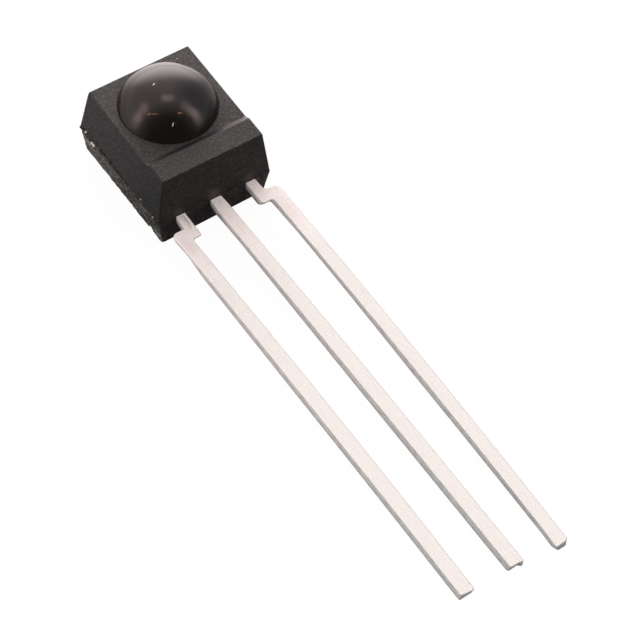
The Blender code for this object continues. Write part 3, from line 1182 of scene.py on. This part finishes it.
    def trace_walls(self, lines: Perimeter) -> WallLines:
        """Trace the outlines that the walls run through.

        Args:
            lines: The samples round the body.

        Returns:
            The outlines.
        """
        w, h = self.width / 2, self.height / 2
        side, end = (math.tan(math.radians(a)) for a in (self.side_draft, self.end_draft))
        back = math.tan(math.radians(self.back_draft)) * self.parting
        grow = self.lift / (self.field - self.parting)
        front_radius, worn_radius = (
            self.parting_radius + grow * (radius - self.parting_radius)
            for radius in (self.front_radius, self.worn_radius)
        )

        def trace(inset: float, rise: float) -> np.ndarray:
            """One outline of the front half.

            Args:
                inset: How far it is set in from the walls.
                rise: Its height above the parting line, either none or the whole lift.

            Returns:
                Samples by 2 points.
            """
            radii = (front_radius,) * 3 + (worn_radius,) if rise else (self.parting_radius,) * 4
            radii = tuple(max(radius - inset, self.least_radius) for radius in radii)
            section = Section(w - inset - side * rise, h - inset - end * rise, radii)
            return lines.trace(section)[0]

        lower, outward = lines.trace(Section(w - back, h - back, (self.back_radius,) * 4))
        return WallLines(
            outward=outward,
            back=lower,
            parting=trace(0.0, 0.0),
            top=trace(0.0, self.lift),
            inner_parting=trace(self.front_edge, 0.0),
            inner_top=trace(self.front_edge, self.lift),
        )

    def wall_at(self, walls: WallLines, z: np.ndarray) -> np.ndarray:
        """The wall's outline.

        Args:
            walls: The outlines that it runs through.
            z: Its height at each sample.

        Returns:
            Samples by 2 points.
        """
        up = ((z - self.parting) / self.lift)[:, None]
        down = ((self.parting - z) / self.parting)[:, None]
        above, below = walls.top - walls.parting, walls.back - walls.parting
        return walls.parting + np.where(up > 0, above * up, below * down)

    def front_rim(self, walls: WallLines) -> tuple[np.ndarray, np.ndarray, np.ndarray]:
        """Where the front face starts, inside its rounded and partly worn edge.

        Args:
            walls: The outlines that the walls run through.

        Returns:
            Samples by 2 points, with the front's height and the edge's rounding at each.
        """
        corner = np.array((-self.width / 2, self.height / 2))
        away = np.linalg.norm(walls.parting - corner, axis=1)
        worn = np.exp(-((away / self.worn_reach) ** 2))
        left = smooth(-walls.outward[:, 0], 0.1, 0.8)
        edge = self.front_edge + left * (self.left_edge + self.worn_edge * worn)
        level = np.full(len(walls.parting), self.field)
        rim = self.front_height(self.wall_at(walls, level)[:, 1])[0]
        for _ in range(3):
            up = ((rim - self.parting) / self.lift)[:, None]
            inner = walls.inner_parting + (walls.inner_top - walls.inner_parting) * up
            inner[:, 0] += left * self.left_edge + self.worn_edge * worn
            rim = self.front_height(inner[:, 1])[0]
        return inner, rim, edge

    def wall_rings(self, lines: Perimeter) -> tuple[np.ndarray, np.ndarray]:
        """The walls from the back face's rim up to the front face's rim.

        Args:
            lines: The samples round the body.

        Returns:
            Rings by samples by 3 points, and the level normals of each sample.
        """
        walls = self.trace_walls(lines)
        inner, rim, edge = self.front_rim(walls)
        level = np.ones(lines.size)
        rings = []

        def add_ring(z: np.ndarray, inward: np.ndarray | float = 0.0) -> None:
            """Add the wall's outline at a height for each sample, moved inward."""
            rings.append(np.column_stack([self.wall_at(walls, z) + inward, z]))

        for inset, off in quarter_turn(6)[::-1]:
            add_ring(level * self.back_edge * off, -walls.outward * self.back_edge * inset)
        for z in np.arange(self.back_edge + 0.04, self.parting - 0.1, 0.04):
            add_ring(level * z)
        for step in LINE_STEPS:
            add_ring(level * (self.parting + step))
        start, stop = self.parting + LINE_STEPS[-1], rim - edge
        for share in np.linspace(0.0, 1.0, 9)[1:-1]:
            add_ring(start + (stop - start) * share)
        inward = inner - self.wall_at(walls, rim)
        for inset, off in quarter_turn(9):
            add_ring(rim - edge * off, inward * inset)
        return np.array(rings), walls.outward

    def build_walls(self, draft: MeshDraft) -> None:
        """Add the walls, the front face and the back face.

        Args:
            draft: Gets them.
        """
        lines = self.samples()
        rings, outward = self.wall_rings(lines)
        flat = rings.reshape(-1, 3)
        rise, masks = self.relief(flat, np.tile(outward, (len(rings), 1)))
        rise = rise.reshape(len(rings), -1, 1)
        rise[:1] = rise[-4:] = 0.0
        rings[..., :2] += outward[None] * rise
        near, slant = self.foot
        below = np.clip(1.0 - rings[..., 2] / self.parting, 0.0, 1.0)
        below *= smooth(rings[..., 1], *self.foot_reach)
        rings[..., 1] -= below * (near + slant * (rings[..., 0] - self.foot_from))
        normals = ring_normals(rings)
        normals[-1, :, 1] = -self.front_height(rings[-1, :, 1])[1]
        draft.add_grid(rings, normals, 0, closed=True, **masks)

        front = lines.fill(rings[-1, :, :2])
        z, slope = self.front_height(front[..., 1])
        none = np.zeros(z.shape)
        draft.add_grid(np.dstack([front, z]), np.dstack([none, -slope, none + 1.0]), 0, rear=none)

        back = lines.fill(rings[0, :, :2])
        down = np.dstack([none, none, none - 1.0])
        draft.add_grid(np.dstack([back, none]), down, 0, rear=none + 1.0)

    def build_lens(self, draft: MeshDraft) -> None:
        """Add the lens, whose shading eases into the field at the left.

        Args:
            draft: Gets it.
        """
        centre_height = self.field + self.lens_rise - self.lens_radius
        centre = np.array((self.lens_x, self.lens_y, centre_height))
        low = math.asin((self.field - centre_height) / self.lens_radius)
        up, around = self.lens_steps
        tilts = np.concatenate([[low - 0.02], np.linspace(low, math.radians(89.6), up)])
        turns = np.linspace(0.0, math.tau, around, endpoint=False)
        tilt, turn = np.meshgrid(tilts, turns, indexing="ij")

        def spoke(rise: np.ndarray) -> np.ndarray:
            """Unit vectors at each turn, by their angle above level."""
            level = np.cos(rise)
            return np.stack([level * np.cos(turn), level * np.sin(turn), np.sin(rise)], axis=-1)

        points = centre + spoke(tilt) * self.lens_radius
        left = smooth(np.cos(turn - math.radians(self.ease_turn)), 0.0, 0.6)
        eased = tilt + self.base_ease * left * (1.0 - smooth(tilt, low, low + 0.4))
        draft.add_grid(points, spoke(eased), 1, closed=True)
        draft.add_cap(points[-1], (0.0, 0.0, 1.0), 1)

    def build(self) -> bpy.types.Object:
        """Make the body's piece in place of its solid.

        Returns:
            The piece.
        """
        draft = MeshDraft()
        self.build_walls(draft)
        self.build_lens(draft)
        piece = draft.build("moulded_body", [MattCompound().make(), PolishedLens().make()])
        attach(piece, "root")
        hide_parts("epoxy_body")
        return piece


class TipCorner(NamedTuple):
    """A corner of a cut tip.

    X is its distance right of the lead's middle, past its distance past the nominal tip, and slope
    how far the sheared end slopes back below it.
    """

    x: float
    past: float
    radius: float
    slope: float


@dataclass(frozen=True)
class LeadForm:
    """One stamped lead.

    The shoulder, armpit, heel and crotch are corners of its jog, as distance out from the middle,
    distance below the body and rounding. Spread is how far the two edges stand out of the strip's
    nominal width from mid length on, and burr the same for the back of the left edge, at five
    places from the jog to the tip.
    """

    name: str
    node: str
    side: Side
    bow: float
    drift: float
    tip: tuple[TipCorner, ...]
    spread: Span
    burr: tuple[float, float, float, float, float]
    armpit: Point = (0.0, 0.0, 0.0)
    shoulder: Point = (0.0, 0.0, 0.0)
    heel: Point = (0.0, 0.0, 0.0)
    crotch: Point = (0.0, 0.0, 0.0)


LEADS = (
    LeadForm(
        "stamped_output_lead",
        "output_lead",
        Side.LEFT,
        bow=0.085,
        drift=0.07,
        tip=(TipCorner(-0.38, 0.02, 0.09, 0.06), TipCorner(0.345, 0.06, 0.13, 0.16)),
        spread=(0.06, 0.015),
        burr=(-0.04, 0.0, 0.015, 0.025, 0.02),
        armpit=(2.22, 0.77, 0.05),
        shoulder=(2.93, 0.79, 0.28),
        heel=(1.7, 1.47, 0.1),
        crotch=(2.2, 1.49, 0.14),
    ),
    LeadForm(
        "stamped_ground_lead",
        "ground_lead",
        Side.MIDDLE,
        bow=0.03,
        drift=0.18,
        tip=(
            TipCorner(-0.35, -0.06, 0.13, 0.12),
            TipCorner(0.13, -0.1, 0.14, 0.14),
            TipCorner(0.37, -0.04, 0.09, 0.02),
        ),
        spread=(0.025, 0.04),
        burr=(-0.05, 0.01, 0.04, 0.055, 0.05),
    ),
    LeadForm(
        "stamped_supply_lead",
        "supply_lead",
        Side.RIGHT,
        bow=0.11,
        drift=-0.04,
        tip=(
            TipCorner(-0.35, 0.07, 0.05, 0.36),
            TipCorner(-0.22, 0.1, 0.05, 0.06),
            TipCorner(0.34, 0.01, 0.2, 0.0),
        ),
        spread=(0.0, 0.0),
        burr=(-0.07, -0.03, 0.03, 0.01, -0.03),
        armpit=(2.19, 0.79, 0.2),
        shoulder=(2.87, 0.8, 0.3),
        heel=(1.62, 1.42, 0.22),
        crotch=(2.22, 1.42, 0.12),
    ),
)


@dataclass(frozen=True)
class LeadFrame:
    """The three leads, stamped from one strip.

    Exit is where they leave the body, start where the outer ones are past their shoulder, and tip
    their nominal end, all as Y. Pad and paddle are the frame's ends inside the body. The heel's
    and shoulder's reaches say where the slopes of their sheared edges come in and go out along Y,
    and the tip's how far from its end.
    """

    shift: float = 0.06
    pitch: float = 2.54
    root_pitch: float = 1.9
    width: float = 0.66
    thickness: float = 0.46
    front: float = 1.5
    exit: float = -3.45
    tip: float = -27.71
    start: float = -4.91
    outer_root: float = 0.5
    middle_root: float = 0.58
    flare_length: float = 0.6
    stub_end: float = 1.9
    rim: float = 0.045
    heel_slope: float = 0.24
    heel_reach: tuple[Span, Span] = ((-4.2, -4.85), (-5.9, -5.1))
    shoulder_slope: float = 0.13
    shoulder_reach: tuple[Span, Span] = ((-4.1, -4.4), (-5.9, -5.2))
    tip_reach: Span = (0.7, 0.05)
    neck: float = 0.55
    neck_taper: float = 0.3
    pad: Span = (1.6, 2.55)
    pad_end: float = -0.412
    paddle: Point = (1.35, -1.962, 1.858)
    frame_corner: float = 0.12
    bends: int = 24

    def centre(self, form: LeadForm, along: float) -> float:
        """X of a lead's middle, for along from 0 at the shoulder to 1 at the tip."""
        bend = 4 * form.bow * along * (1 - along) + form.drift * along
        return self.shift + form.side.value * self.pitch + bend

    def run(self, form: LeadForm, edge: int) -> list[Point]:
        """Corners down one edge of a lead's strip, from the shoulder to the tip.

        Args:
            form: The lead.
            edge: -1 for the left edge, 1 for the right one.

        Returns:
            X, Y and rounding of each corner.
        """
        corners = []
        for step in range(1 if form.side is Side.MIDDLE else 2, self.bends):
            share = step / self.bends
            reach = self.width / 2 + form.spread[max(edge, 0)] * min(share / 0.4, 1.0)
            y = self.start + share * (self.tip - self.start)
            corners.append((self.centre(form, share) + edge * reach, y, 0.0))
        return corners

    def tip_corners(self, form: LeadForm) -> list[Point]:
        """Corners round a lead's cut tip, from left to right."""
        middle = self.centre(form, 1.0)
        return [(middle + x, self.tip - past, radius) for x, past, radius, _ in form.tip]

    def neck_corners(self, form: LeadForm) -> list[Point]:
        """Corners from a lead's right edge, round its frame end inside the body, to its left edge.

        Args:
            form: The lead.

        Returns:
            X, Y and rounding of each corner.
        """
        half, bend = self.width / 2, self.frame_corner
        if form.side is Side.MIDDLE:
            root, (wide, low, high) = self.middle_root / 2, self.paddle
            right = [(half, self.exit - self.flare_length, 0.0), (root, self.exit, 0.0)]
            right += [(root, low, bend), (wide, low, bend), (wide, high, bend)]
            corners = right + [(-x, y, r) for x, y, r in reversed(right)]
            return [(self.shift + x, y, r) for x, y, r in corners]
        inner = self.root_pitch - self.outer_root / 2
        outer = self.root_pitch + self.outer_root / 2
        neck_end = self.exit + self.neck
        pad_start = neck_end + self.neck_taper
        jog = (form.shoulder, form.armpit, form.heel, form.crotch)
        below = [(out, self.exit - down, radius) for out, down, radius in jog]
        corners = [
            (self.pitch + half + 0.01, self.exit - self.stub_end, 0.0),
            *below[:2],
            (outer, self.exit, 0.0),
            (outer, neck_end, 0.0),
            (self.pad[1], pad_start, bend),
            (self.pad[1], self.pad_end, bend),
            (self.pad[0], self.pad_end, bend),
            (self.pad[0], pad_start, 0.0),
            (inner, neck_end, 0.0),
            *below[2:],
        ]
        side = form.side.value
        placed = [(self.shift + side * x, y, r) for x, y, r in corners]
        return placed if side > 0 else placed[::-1]

    def outline(self, form: LeadForm) -> tuple[np.ndarray, np.ndarray]:
        """The whole outline of one lead.

        Args:
            form: The lead.

        Returns:
            Its points and their outward normals, counter-clockwise.
        """
        left, right = self.run(form, -1), self.run(form, 1)
        corners = [*self.tip_corners(form), *right[::-1], *self.neck_corners(form), *left]
        places = [np.array(c[:2]) for c in corners]
        points: list[np.ndarray] = []
        normals: list[np.ndarray] = []
        for index, (_, _, radius) in enumerate(corners):
            before, at, after = places[index - 1], places[index], places[(index + 1) % len(places)]
            self.turn_corner(before, at, after, radius, points, normals)
        return np.array(points), np.array(normals)

    def turn_corner(
        self,
        before: np.ndarray,
        at: np.ndarray,
        after: np.ndarray,
        radius: float,
        points: list[np.ndarray],
        normals: list[np.ndarray],
    ) -> None:
        """Add one corner of an outline.

        Args:
            before: The corner before it.
            at: The corner.
            after: The corner after it.
            radius: Its rounding, or 0 where it only bends a little.
            points: Gets the new points.
            normals: Gets their normals.
        """
        back, ahead = (v / np.linalg.norm(v) for v in (before - at, after - at))
        start, end = np.array((-back[1], back[0])), np.array((ahead[1], -ahead[0]))
        half = math.acos(np.clip(back @ ahead, -1.0, 1.0)) / 2
        if radius == 0.0 or half > math.radians(89.0):
            points.append(at)
            normals.append((start + end) / np.linalg.norm(start + end))
            return
        turn = 1.0 if ahead[0] * back[1] - ahead[1] * back[0] > 0 else -1.0
        room = 0.49 * min(np.linalg.norm(before - at), np.linalg.norm(after - at))
        radius = min(radius, room * math.tan(half))
        middle = at + (back + ahead) / np.linalg.norm(back + ahead) * radius / math.sin(half)
        first = math.atan2(*(start * turn)[::-1])
        for share in np.linspace(0.0, 1.0, 9):
            angle = first + turn * (math.pi - 2 * half) * share
            spoke = np.array((math.cos(angle), math.sin(angle)))
            points.append(middle + spoke * radius)
            normals.append(spoke * turn)

    def lower_edge(self, form: LeadForm, edge: np.ndarray) -> np.ndarray:
        """The outline at the back, where the sheared tip and the trimmed bar slope in.

        Args:
            form: The lead.
            edge: The outline's points at the front.

        Returns:
            Its points at the back.
        """
        x, y = edge.T
        corners = sorted(form.tip)
        places, slopes = [c.x for c in corners], [c.slope for c in corners]
        back = np.interp(x - self.centre(form, 1.0), places, slopes)
        back *= smooth(y, *(self.tip + reach for reach in self.tip_reach))
        along = np.clip((self.start - y) / (self.start - self.tip), 0.0, 1.0)
        away = x - np.array([self.centre(form, share) for share in along])
        burr = np.interp(along, np.linspace(0.0, 1.0, 5), form.burr) * smooth(along, 0.0, 0.03)
        x = x - burr * smooth(away, 0.0, -0.3)
        if form.side is Side.MIDDLE:
            return np.column_stack([x, y + back])
        side = form.side.value
        inner = smooth(side * (x - self.shift), self.pitch + 0.05, self.pitch - 0.15)
        heel, shoulder = (
            smooth(y, *fade_in) * smooth(y, *fade_out)
            for fade_in, fade_out in (self.heel_reach, self.shoulder_reach)
        )
        back += self.heel_slope * inner * heel
        inward = self.shoulder_slope * (1.0 - inner) * shoulder
        return np.column_stack([x - side * inward, y + back])

    def build_lead(self, form: LeadForm, tin: bpy.types.Material) -> bpy.types.Object:
        """Make one lead with rolled rims and sloping sheared edges.

        Args:
            form: The lead.
            tin: Its finish.

        Returns:
            The lead's piece.
        """
        edge, outward = self.outline(form)
        below = self.lower_edge(form, edge)
        low, high = self.front - self.thickness, self.front
        rings = []

        def add_ring(share: float, inset: float, z: float) -> None:
            """Add the outline at a height, share of the way from the back to the front."""
            flat = below + (edge - below) * share - outward * inset
            rings.append(np.column_stack([flat, np.full(len(flat), z)]))

        for inset, off in quarter_turn(5)[::-1]:
            add_ring(0.0, self.rim * inset, low + self.rim * off)
        for share in (0.3, 0.6, 0.85, 1.0):
            rise = self.rim + share * (self.thickness - 2.5 * self.rim)
            add_ring(share**0.8, 0.0, low + rise)
        for inset, off in quarter_turn(6):
            add_ring(1.0, self.rim * inset, high - self.rim * off)
        grid = np.array(rings)
        draft = MeshDraft()
        draft.add_grid(grid, ring_normals(grid), 0, closed=True)
        draft.add_cap(grid[0], (0.0, 0.0, -1.0), 0)
        draft.add_cap(grid[-1], (0.0, 0.0, 1.0), 0)
        piece = draft.build(form.name, [tin])
        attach(piece, "root")
        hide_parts(form.node)
        return piece

    def build(self) -> list[bpy.types.Object]:
        """Make the three leads."""
        tin = MattTin().make()
        return [self.build_lead(form, tin) for form in LEADS]


@dataclass(frozen=True)
class SealedPieces:
    """The dies, their attach layers and the bond wires, which stay as modelled inside the body."""

    silicon: InnerFinish = InnerFinish(
        "silicon_die",
        light=(0.12, 0.13, 0.17),
        dark=(0.07, 0.08, 0.12),
        roughness=0.2,
        metallic=0.6,
        lump=0.15,
    )
    adhesive: InnerFinish = InnerFinish(
        "silver_adhesive",
        light=(0.6, 0.6, 0.58),
        dark=(0.4, 0.4, 0.38),
        roughness=0.5,
        metallic=0.7,
        lump=0.03,
    )
    gold: InnerFinish = InnerFinish(
        "gold_bond_wire",
        light=(0.95, 0.72, 0.32),
        dark=(0.85, 0.6, 0.24),
        roughness=0.2,
        metallic=1.0,
        lump=0.02,
    )

    def dress(self, nodes: dict[str, bpy.types.Object]) -> list[str]:
        """Give each sealed solid its finish.

        Args:
            nodes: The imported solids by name.

        Returns:
            The names of the solids that were dressed.
        """
        finishes = {
            "bond_wire": self.gold.make(),
            "attach": self.adhesive.make(),
            "_die": self.silicon.make(),
        }
        dressed = []
        for name, solid in nodes.items():
            finish = next((made for part, made in finishes.items() if part in name), None)
            if finish is not None:
                solid.data.materials.clear()
                solid.data.materials.append(finish)
                dressed.append(name)
        return dressed


@dataclass(frozen=True)
class SkyPatch:
    """A soft round patch of the studio, by its direction and half angles in degrees.

    Azimuth 0 is +Y and 90 is +X. The level is the light that a panel adds there, or that a cover
    leaves there.
    """

    azimuth: float
    elevation: float
    inner: float
    outer: float
    level: Colour

    def direction(self) -> Point:
        """Unit vector towards the patch."""
        a, e = math.radians(self.azimuth), math.radians(self.elevation)
        return (math.sin(a) * math.cos(e), math.cos(a) * math.cos(e), math.sin(e))

    def share(self, r: Recipe, ray: Socket) -> Socket:
        """Share of the patch in a direction.

        Args:
            r: The material or world that shows it.
            ray: The direction.

        Returns:
            The share's socket.
        """
        towards = r.node("VectorMath", {0: ray, 1: self.direction()}, operation="DOT_PRODUCT")
        outer, inner = (math.cos(math.radians(a)) for a in (self.outer, self.inner))
        return r.ramp(towards.outputs["Value"], outer, inner)


@dataclass(frozen=True)
class Studio:
    """A white tent with a bright far panel and an unlit side behind the camera, over a pale floor.

    The side and the unlit patch cover the tent's own light, and the panels add to it. The unlit
    patch is dark in reflections only: for diffuse light it is soft. Reflections show the floor as
    a grey board, dark below the unlit patch and the floor card and bright below the far panel.
    Its albedo is for diffuse light, seen and dark are the board's tones, and shade is the share
    of the white that takes shadows. Floor eye is the point from which the floor's patches are
    placed, and support the two points that the module rests on: back edge and lead tips.
    """

    fill: Colour = (0.89, 0.77, 0.765)
    side: SkyPatch = SkyPatch(98.8, 20.8, 2.3, 64.2, (0.43, 0.4, 0.455))
    unlit: SkyPatch = SkyPatch(-151.0, 4.2, 33.7, 89.0, (0.024, 0.016, 0.003))
    unlit_soft: Colour = (0.72, 0.67, 0.62)
    panels: tuple[SkyPatch, ...] = (
        SkyPatch(-74.7, 13.5, 1.0, 12.8, (1.03, 0.77, 0.68)),
        SkyPatch(-75.7, 20.2, 0.5, 11.6, (1.5, 1.1, 1.05)),
        SkyPatch(-70.6, 36.4, 0.3, 13.0, (1.85, 1.3, 1.22)),
        SkyPatch(140.8, 13.5, 0.9, 13.6, (1.05, 0.82, 0.785)),
        SkyPatch(139.0, 25.9, 0.3, 11.9, (2.1, 1.6, 1.5)),
        SkyPatch(140.7, 37.3, 0.8, 12.1, (1.6, 1.22, 1.12)),
        SkyPatch(141.0, 51.7, 0.3, 14.0, (0.98, 0.8, 0.81)),
        SkyPatch(122.4, 84.9, 0.8, 9.3, (1.5, 1.25, 1.15)),
        SkyPatch(-61.8, 84.0, 0.3, 9.6, (1.9, 1.7, 1.5)),
        SkyPatch(33.1, 13.6, 1.5, 57.4, (0.26, 0.27, 0.28)),
        SkyPatch(27.5, 37.2, 23.4, 45.3, (0.287, 0.211, 0.161)),
    )
    far_panel: SkyPatch = SkyPatch(28.7, 4.1, 1.3, 45.4, (2.54, 2.33, 2.3))
    floor_card: SkyPatch = SkyPatch(116.0, -13.0, 5.0, 31.0, (0.0, 0.0, 0.0))
    floor_card_share: float = 0.65
    floor_albedo: float = 0.62
    floor_shade: float = 0.06
    floor_glow: float = 0.952
    floor_dark: float = 0.02
    floor_lit: float = 0.72
    floor_seen: float = 0.5
    floor_eye: Point = (0.06, 0.76, 4.6)
    support: tuple[Point, Point] = ((0.0, -3.27, 0.0), (0.0, -27.71, 1.04))
    floor_half: float = 1500.0
    seen_white: Colour = (1.0, 1.0, 1.0)

    def seen(self, r: Recipe, path: Sockets) -> Socket:
        """1 for rays from the camera, also through clear pieces, and 0 for others."""
        return r.most(path["Is Camera Ray"], path["Is Transmission Ray"])

    def build_world(self) -> None:
        """Light the object from the tent, and show plain white behind it."""
        world = bpy.data.worlds.new("white_tent")
        r = Recipe(world)
        ray = r.node("TexCoord", {}).outputs["Generated"]
        path = r.node("LightPath", {}).outputs
        light = r.blend(self.side.share(r, ray), self.fill, self.side.level)
        unlit = r.blend(path["Is Diffuse Ray"], self.unlit.level, self.unlit_soft)
        light = r.blend(self.unlit.share(r, ray), light, unlit)
        for panel in (*self.panels, self.far_panel):
            light = r.blend(panel.share(r, ray), light, panel.level, "ADD")
        shown = r.blend(self.seen(r, path), light, self.seen_white)
        background = r.node("Background", {"Color": shown}).outputs[0]
        r.node("OutputWorld", {"Surface": background})
        world.cycles.sampling_method = "NONE"
        bpy.context.scene.world = world

    def dress_floor(self) -> bpy.types.Material:
        """Make the floor's material.

        Returns:
            White where the camera sees it, with a faint shadow, and a graded board in reflections.
        """
        material = bpy.data.materials.new("pale_floor")
        r = Recipe(material)
        path = r.node("LightPath", {}).outputs
        place = r.node("TexCoord", {}).outputs["Object"]
        eye = tuple(c * MM for c in self.floor_eye)
        ray = r.node("VectorMath", {0: place, 1: eye}, operation="SUBTRACT").outputs[0]
        ray = r.node("VectorMath", {0: ray}, operation="NORMALIZE").outputs[0]
        board, seen_board, dark, shade = (
            r.node("BsdfDiffuse", {"Color": (grey, grey, grey, 1.0)}).outputs[0]
            for grey in (self.floor_albedo, self.floor_seen, self.floor_dark, self.floor_shade)
        )
        card = r.times(self.floor_card.share(r, ray), self.floor_card_share)
        covered = r.most(self.unlit.share(r, ray), card)
        graded = r.node("MixShader", {0: covered, 1: seen_board, 2: dark}).outputs[0]
        lit = r.times(self.far_panel.share(r, ray), self.floor_lit)
        lit = r.blend(lit, (0.0, 0.0, 0.0), self.far_panel.level)
        lit = r.node("Emission", {"Color": lit}).outputs[0]
        bright = r.node("AddShader", {0: graded, 1: lit}).outputs[0]
        other = r.node("MixShader", {0: path["Is Glossy Ray"], 1: board, 2: bright}).outputs[0]
        glow = r.node("Emission", {"Strength": self.floor_glow}).outputs[0]
        white = r.node("AddShader", {0: shade, 1: glow}).outputs[0]
        inputs = {0: self.seen(r, path), 1: other, 2: white}
        r.node("OutputMaterial", {"Surface": r.node("MixShader", inputs).outputs[0]})
        return material

    def build_floor(self) -> bpy.types.Object:
        """Lay the floor where the body's back edge and the lead tips rest.

        Returns:
            The floor.
        """
        edge, tip = (Vector(p) for p in self.support)
        along = (edge - tip).normalized()
        across = Vector((1.0, 0.0, 0.0))
        corners = [
            edge + across * (self.floor_half * x) + along * (self.floor_half * y)
            for x, y in ((-1, -1), (1, -1), (1, 1), (-1, 1))
        ]
        mesh = bpy.data.meshes.new("studio_floor")
        mesh.from_pydata([c * MM for c in corners], [], [(0, 1, 2, 3)])
        mesh.materials.append(self.dress_floor())
        floor = bpy.data.objects.new("studio_floor", mesh)
        bpy.context.scene.collection.objects.link(floor)
        return floor


@dataclass(frozen=True)
class PhotoCamera:
    """The photograph's viewpoint, as a place with the directions of the frame's right and top."""

    place: Point = (-81.713, -126.103, 184.332)
    right: Point = (0.83657977, -0.54682125, 0.03347858)
    up: Point = (0.41691675, 0.67510152, 0.60862005)
    lens: float = 287.489
    sensor: float = 36.0
    clip: Span = (0.01, 20.0)

    def build(self) -> bpy.types.Object:
        """Make the camera and set it as the scene's.

        Returns:
            The camera.
        """
        data = bpy.data.cameras.new("photo_camera")
        data.lens, data.sensor_width = self.lens, self.sensor
        data.clip_start, data.clip_end = self.clip
        camera = bpy.data.objects.new("photo_camera", data)
        right, up = Vector(self.right).normalized(), Vector(self.up).normalized()
        back = right.cross(up).normalized()
        turn = Matrix((right, back.cross(right), back)).transposed().to_4x4()
        camera.matrix_world = Matrix.Translation(Vector(self.place) * MM) @ turn
        bpy.context.scene.collection.objects.link(camera)
        bpy.context.scene.camera = camera
        return camera


def main() -> None:
    """Build the object's pieces, then the studio and the camera."""
    logging.basicConfig(level=logging.INFO, format="%(name)s: %(message)s")
    bpy.context.scene.view_settings.view_transform = "Standard"
    LOG.info("built %s", MouldedBody().build().name)
    for lead in LeadFrame().build():
        LOG.info("built %s", lead.name)
    for name in SealedPieces().dress(frame["nodes"]):
        LOG.info("dressed %s", name)
    studio = Studio()
    studio.build_world()
    LOG.info("laid %s", studio.build_floor().name)
    LOG.info("placed %s", PhotoCamera().build().name)


if __name__ == "__main__":
    main()
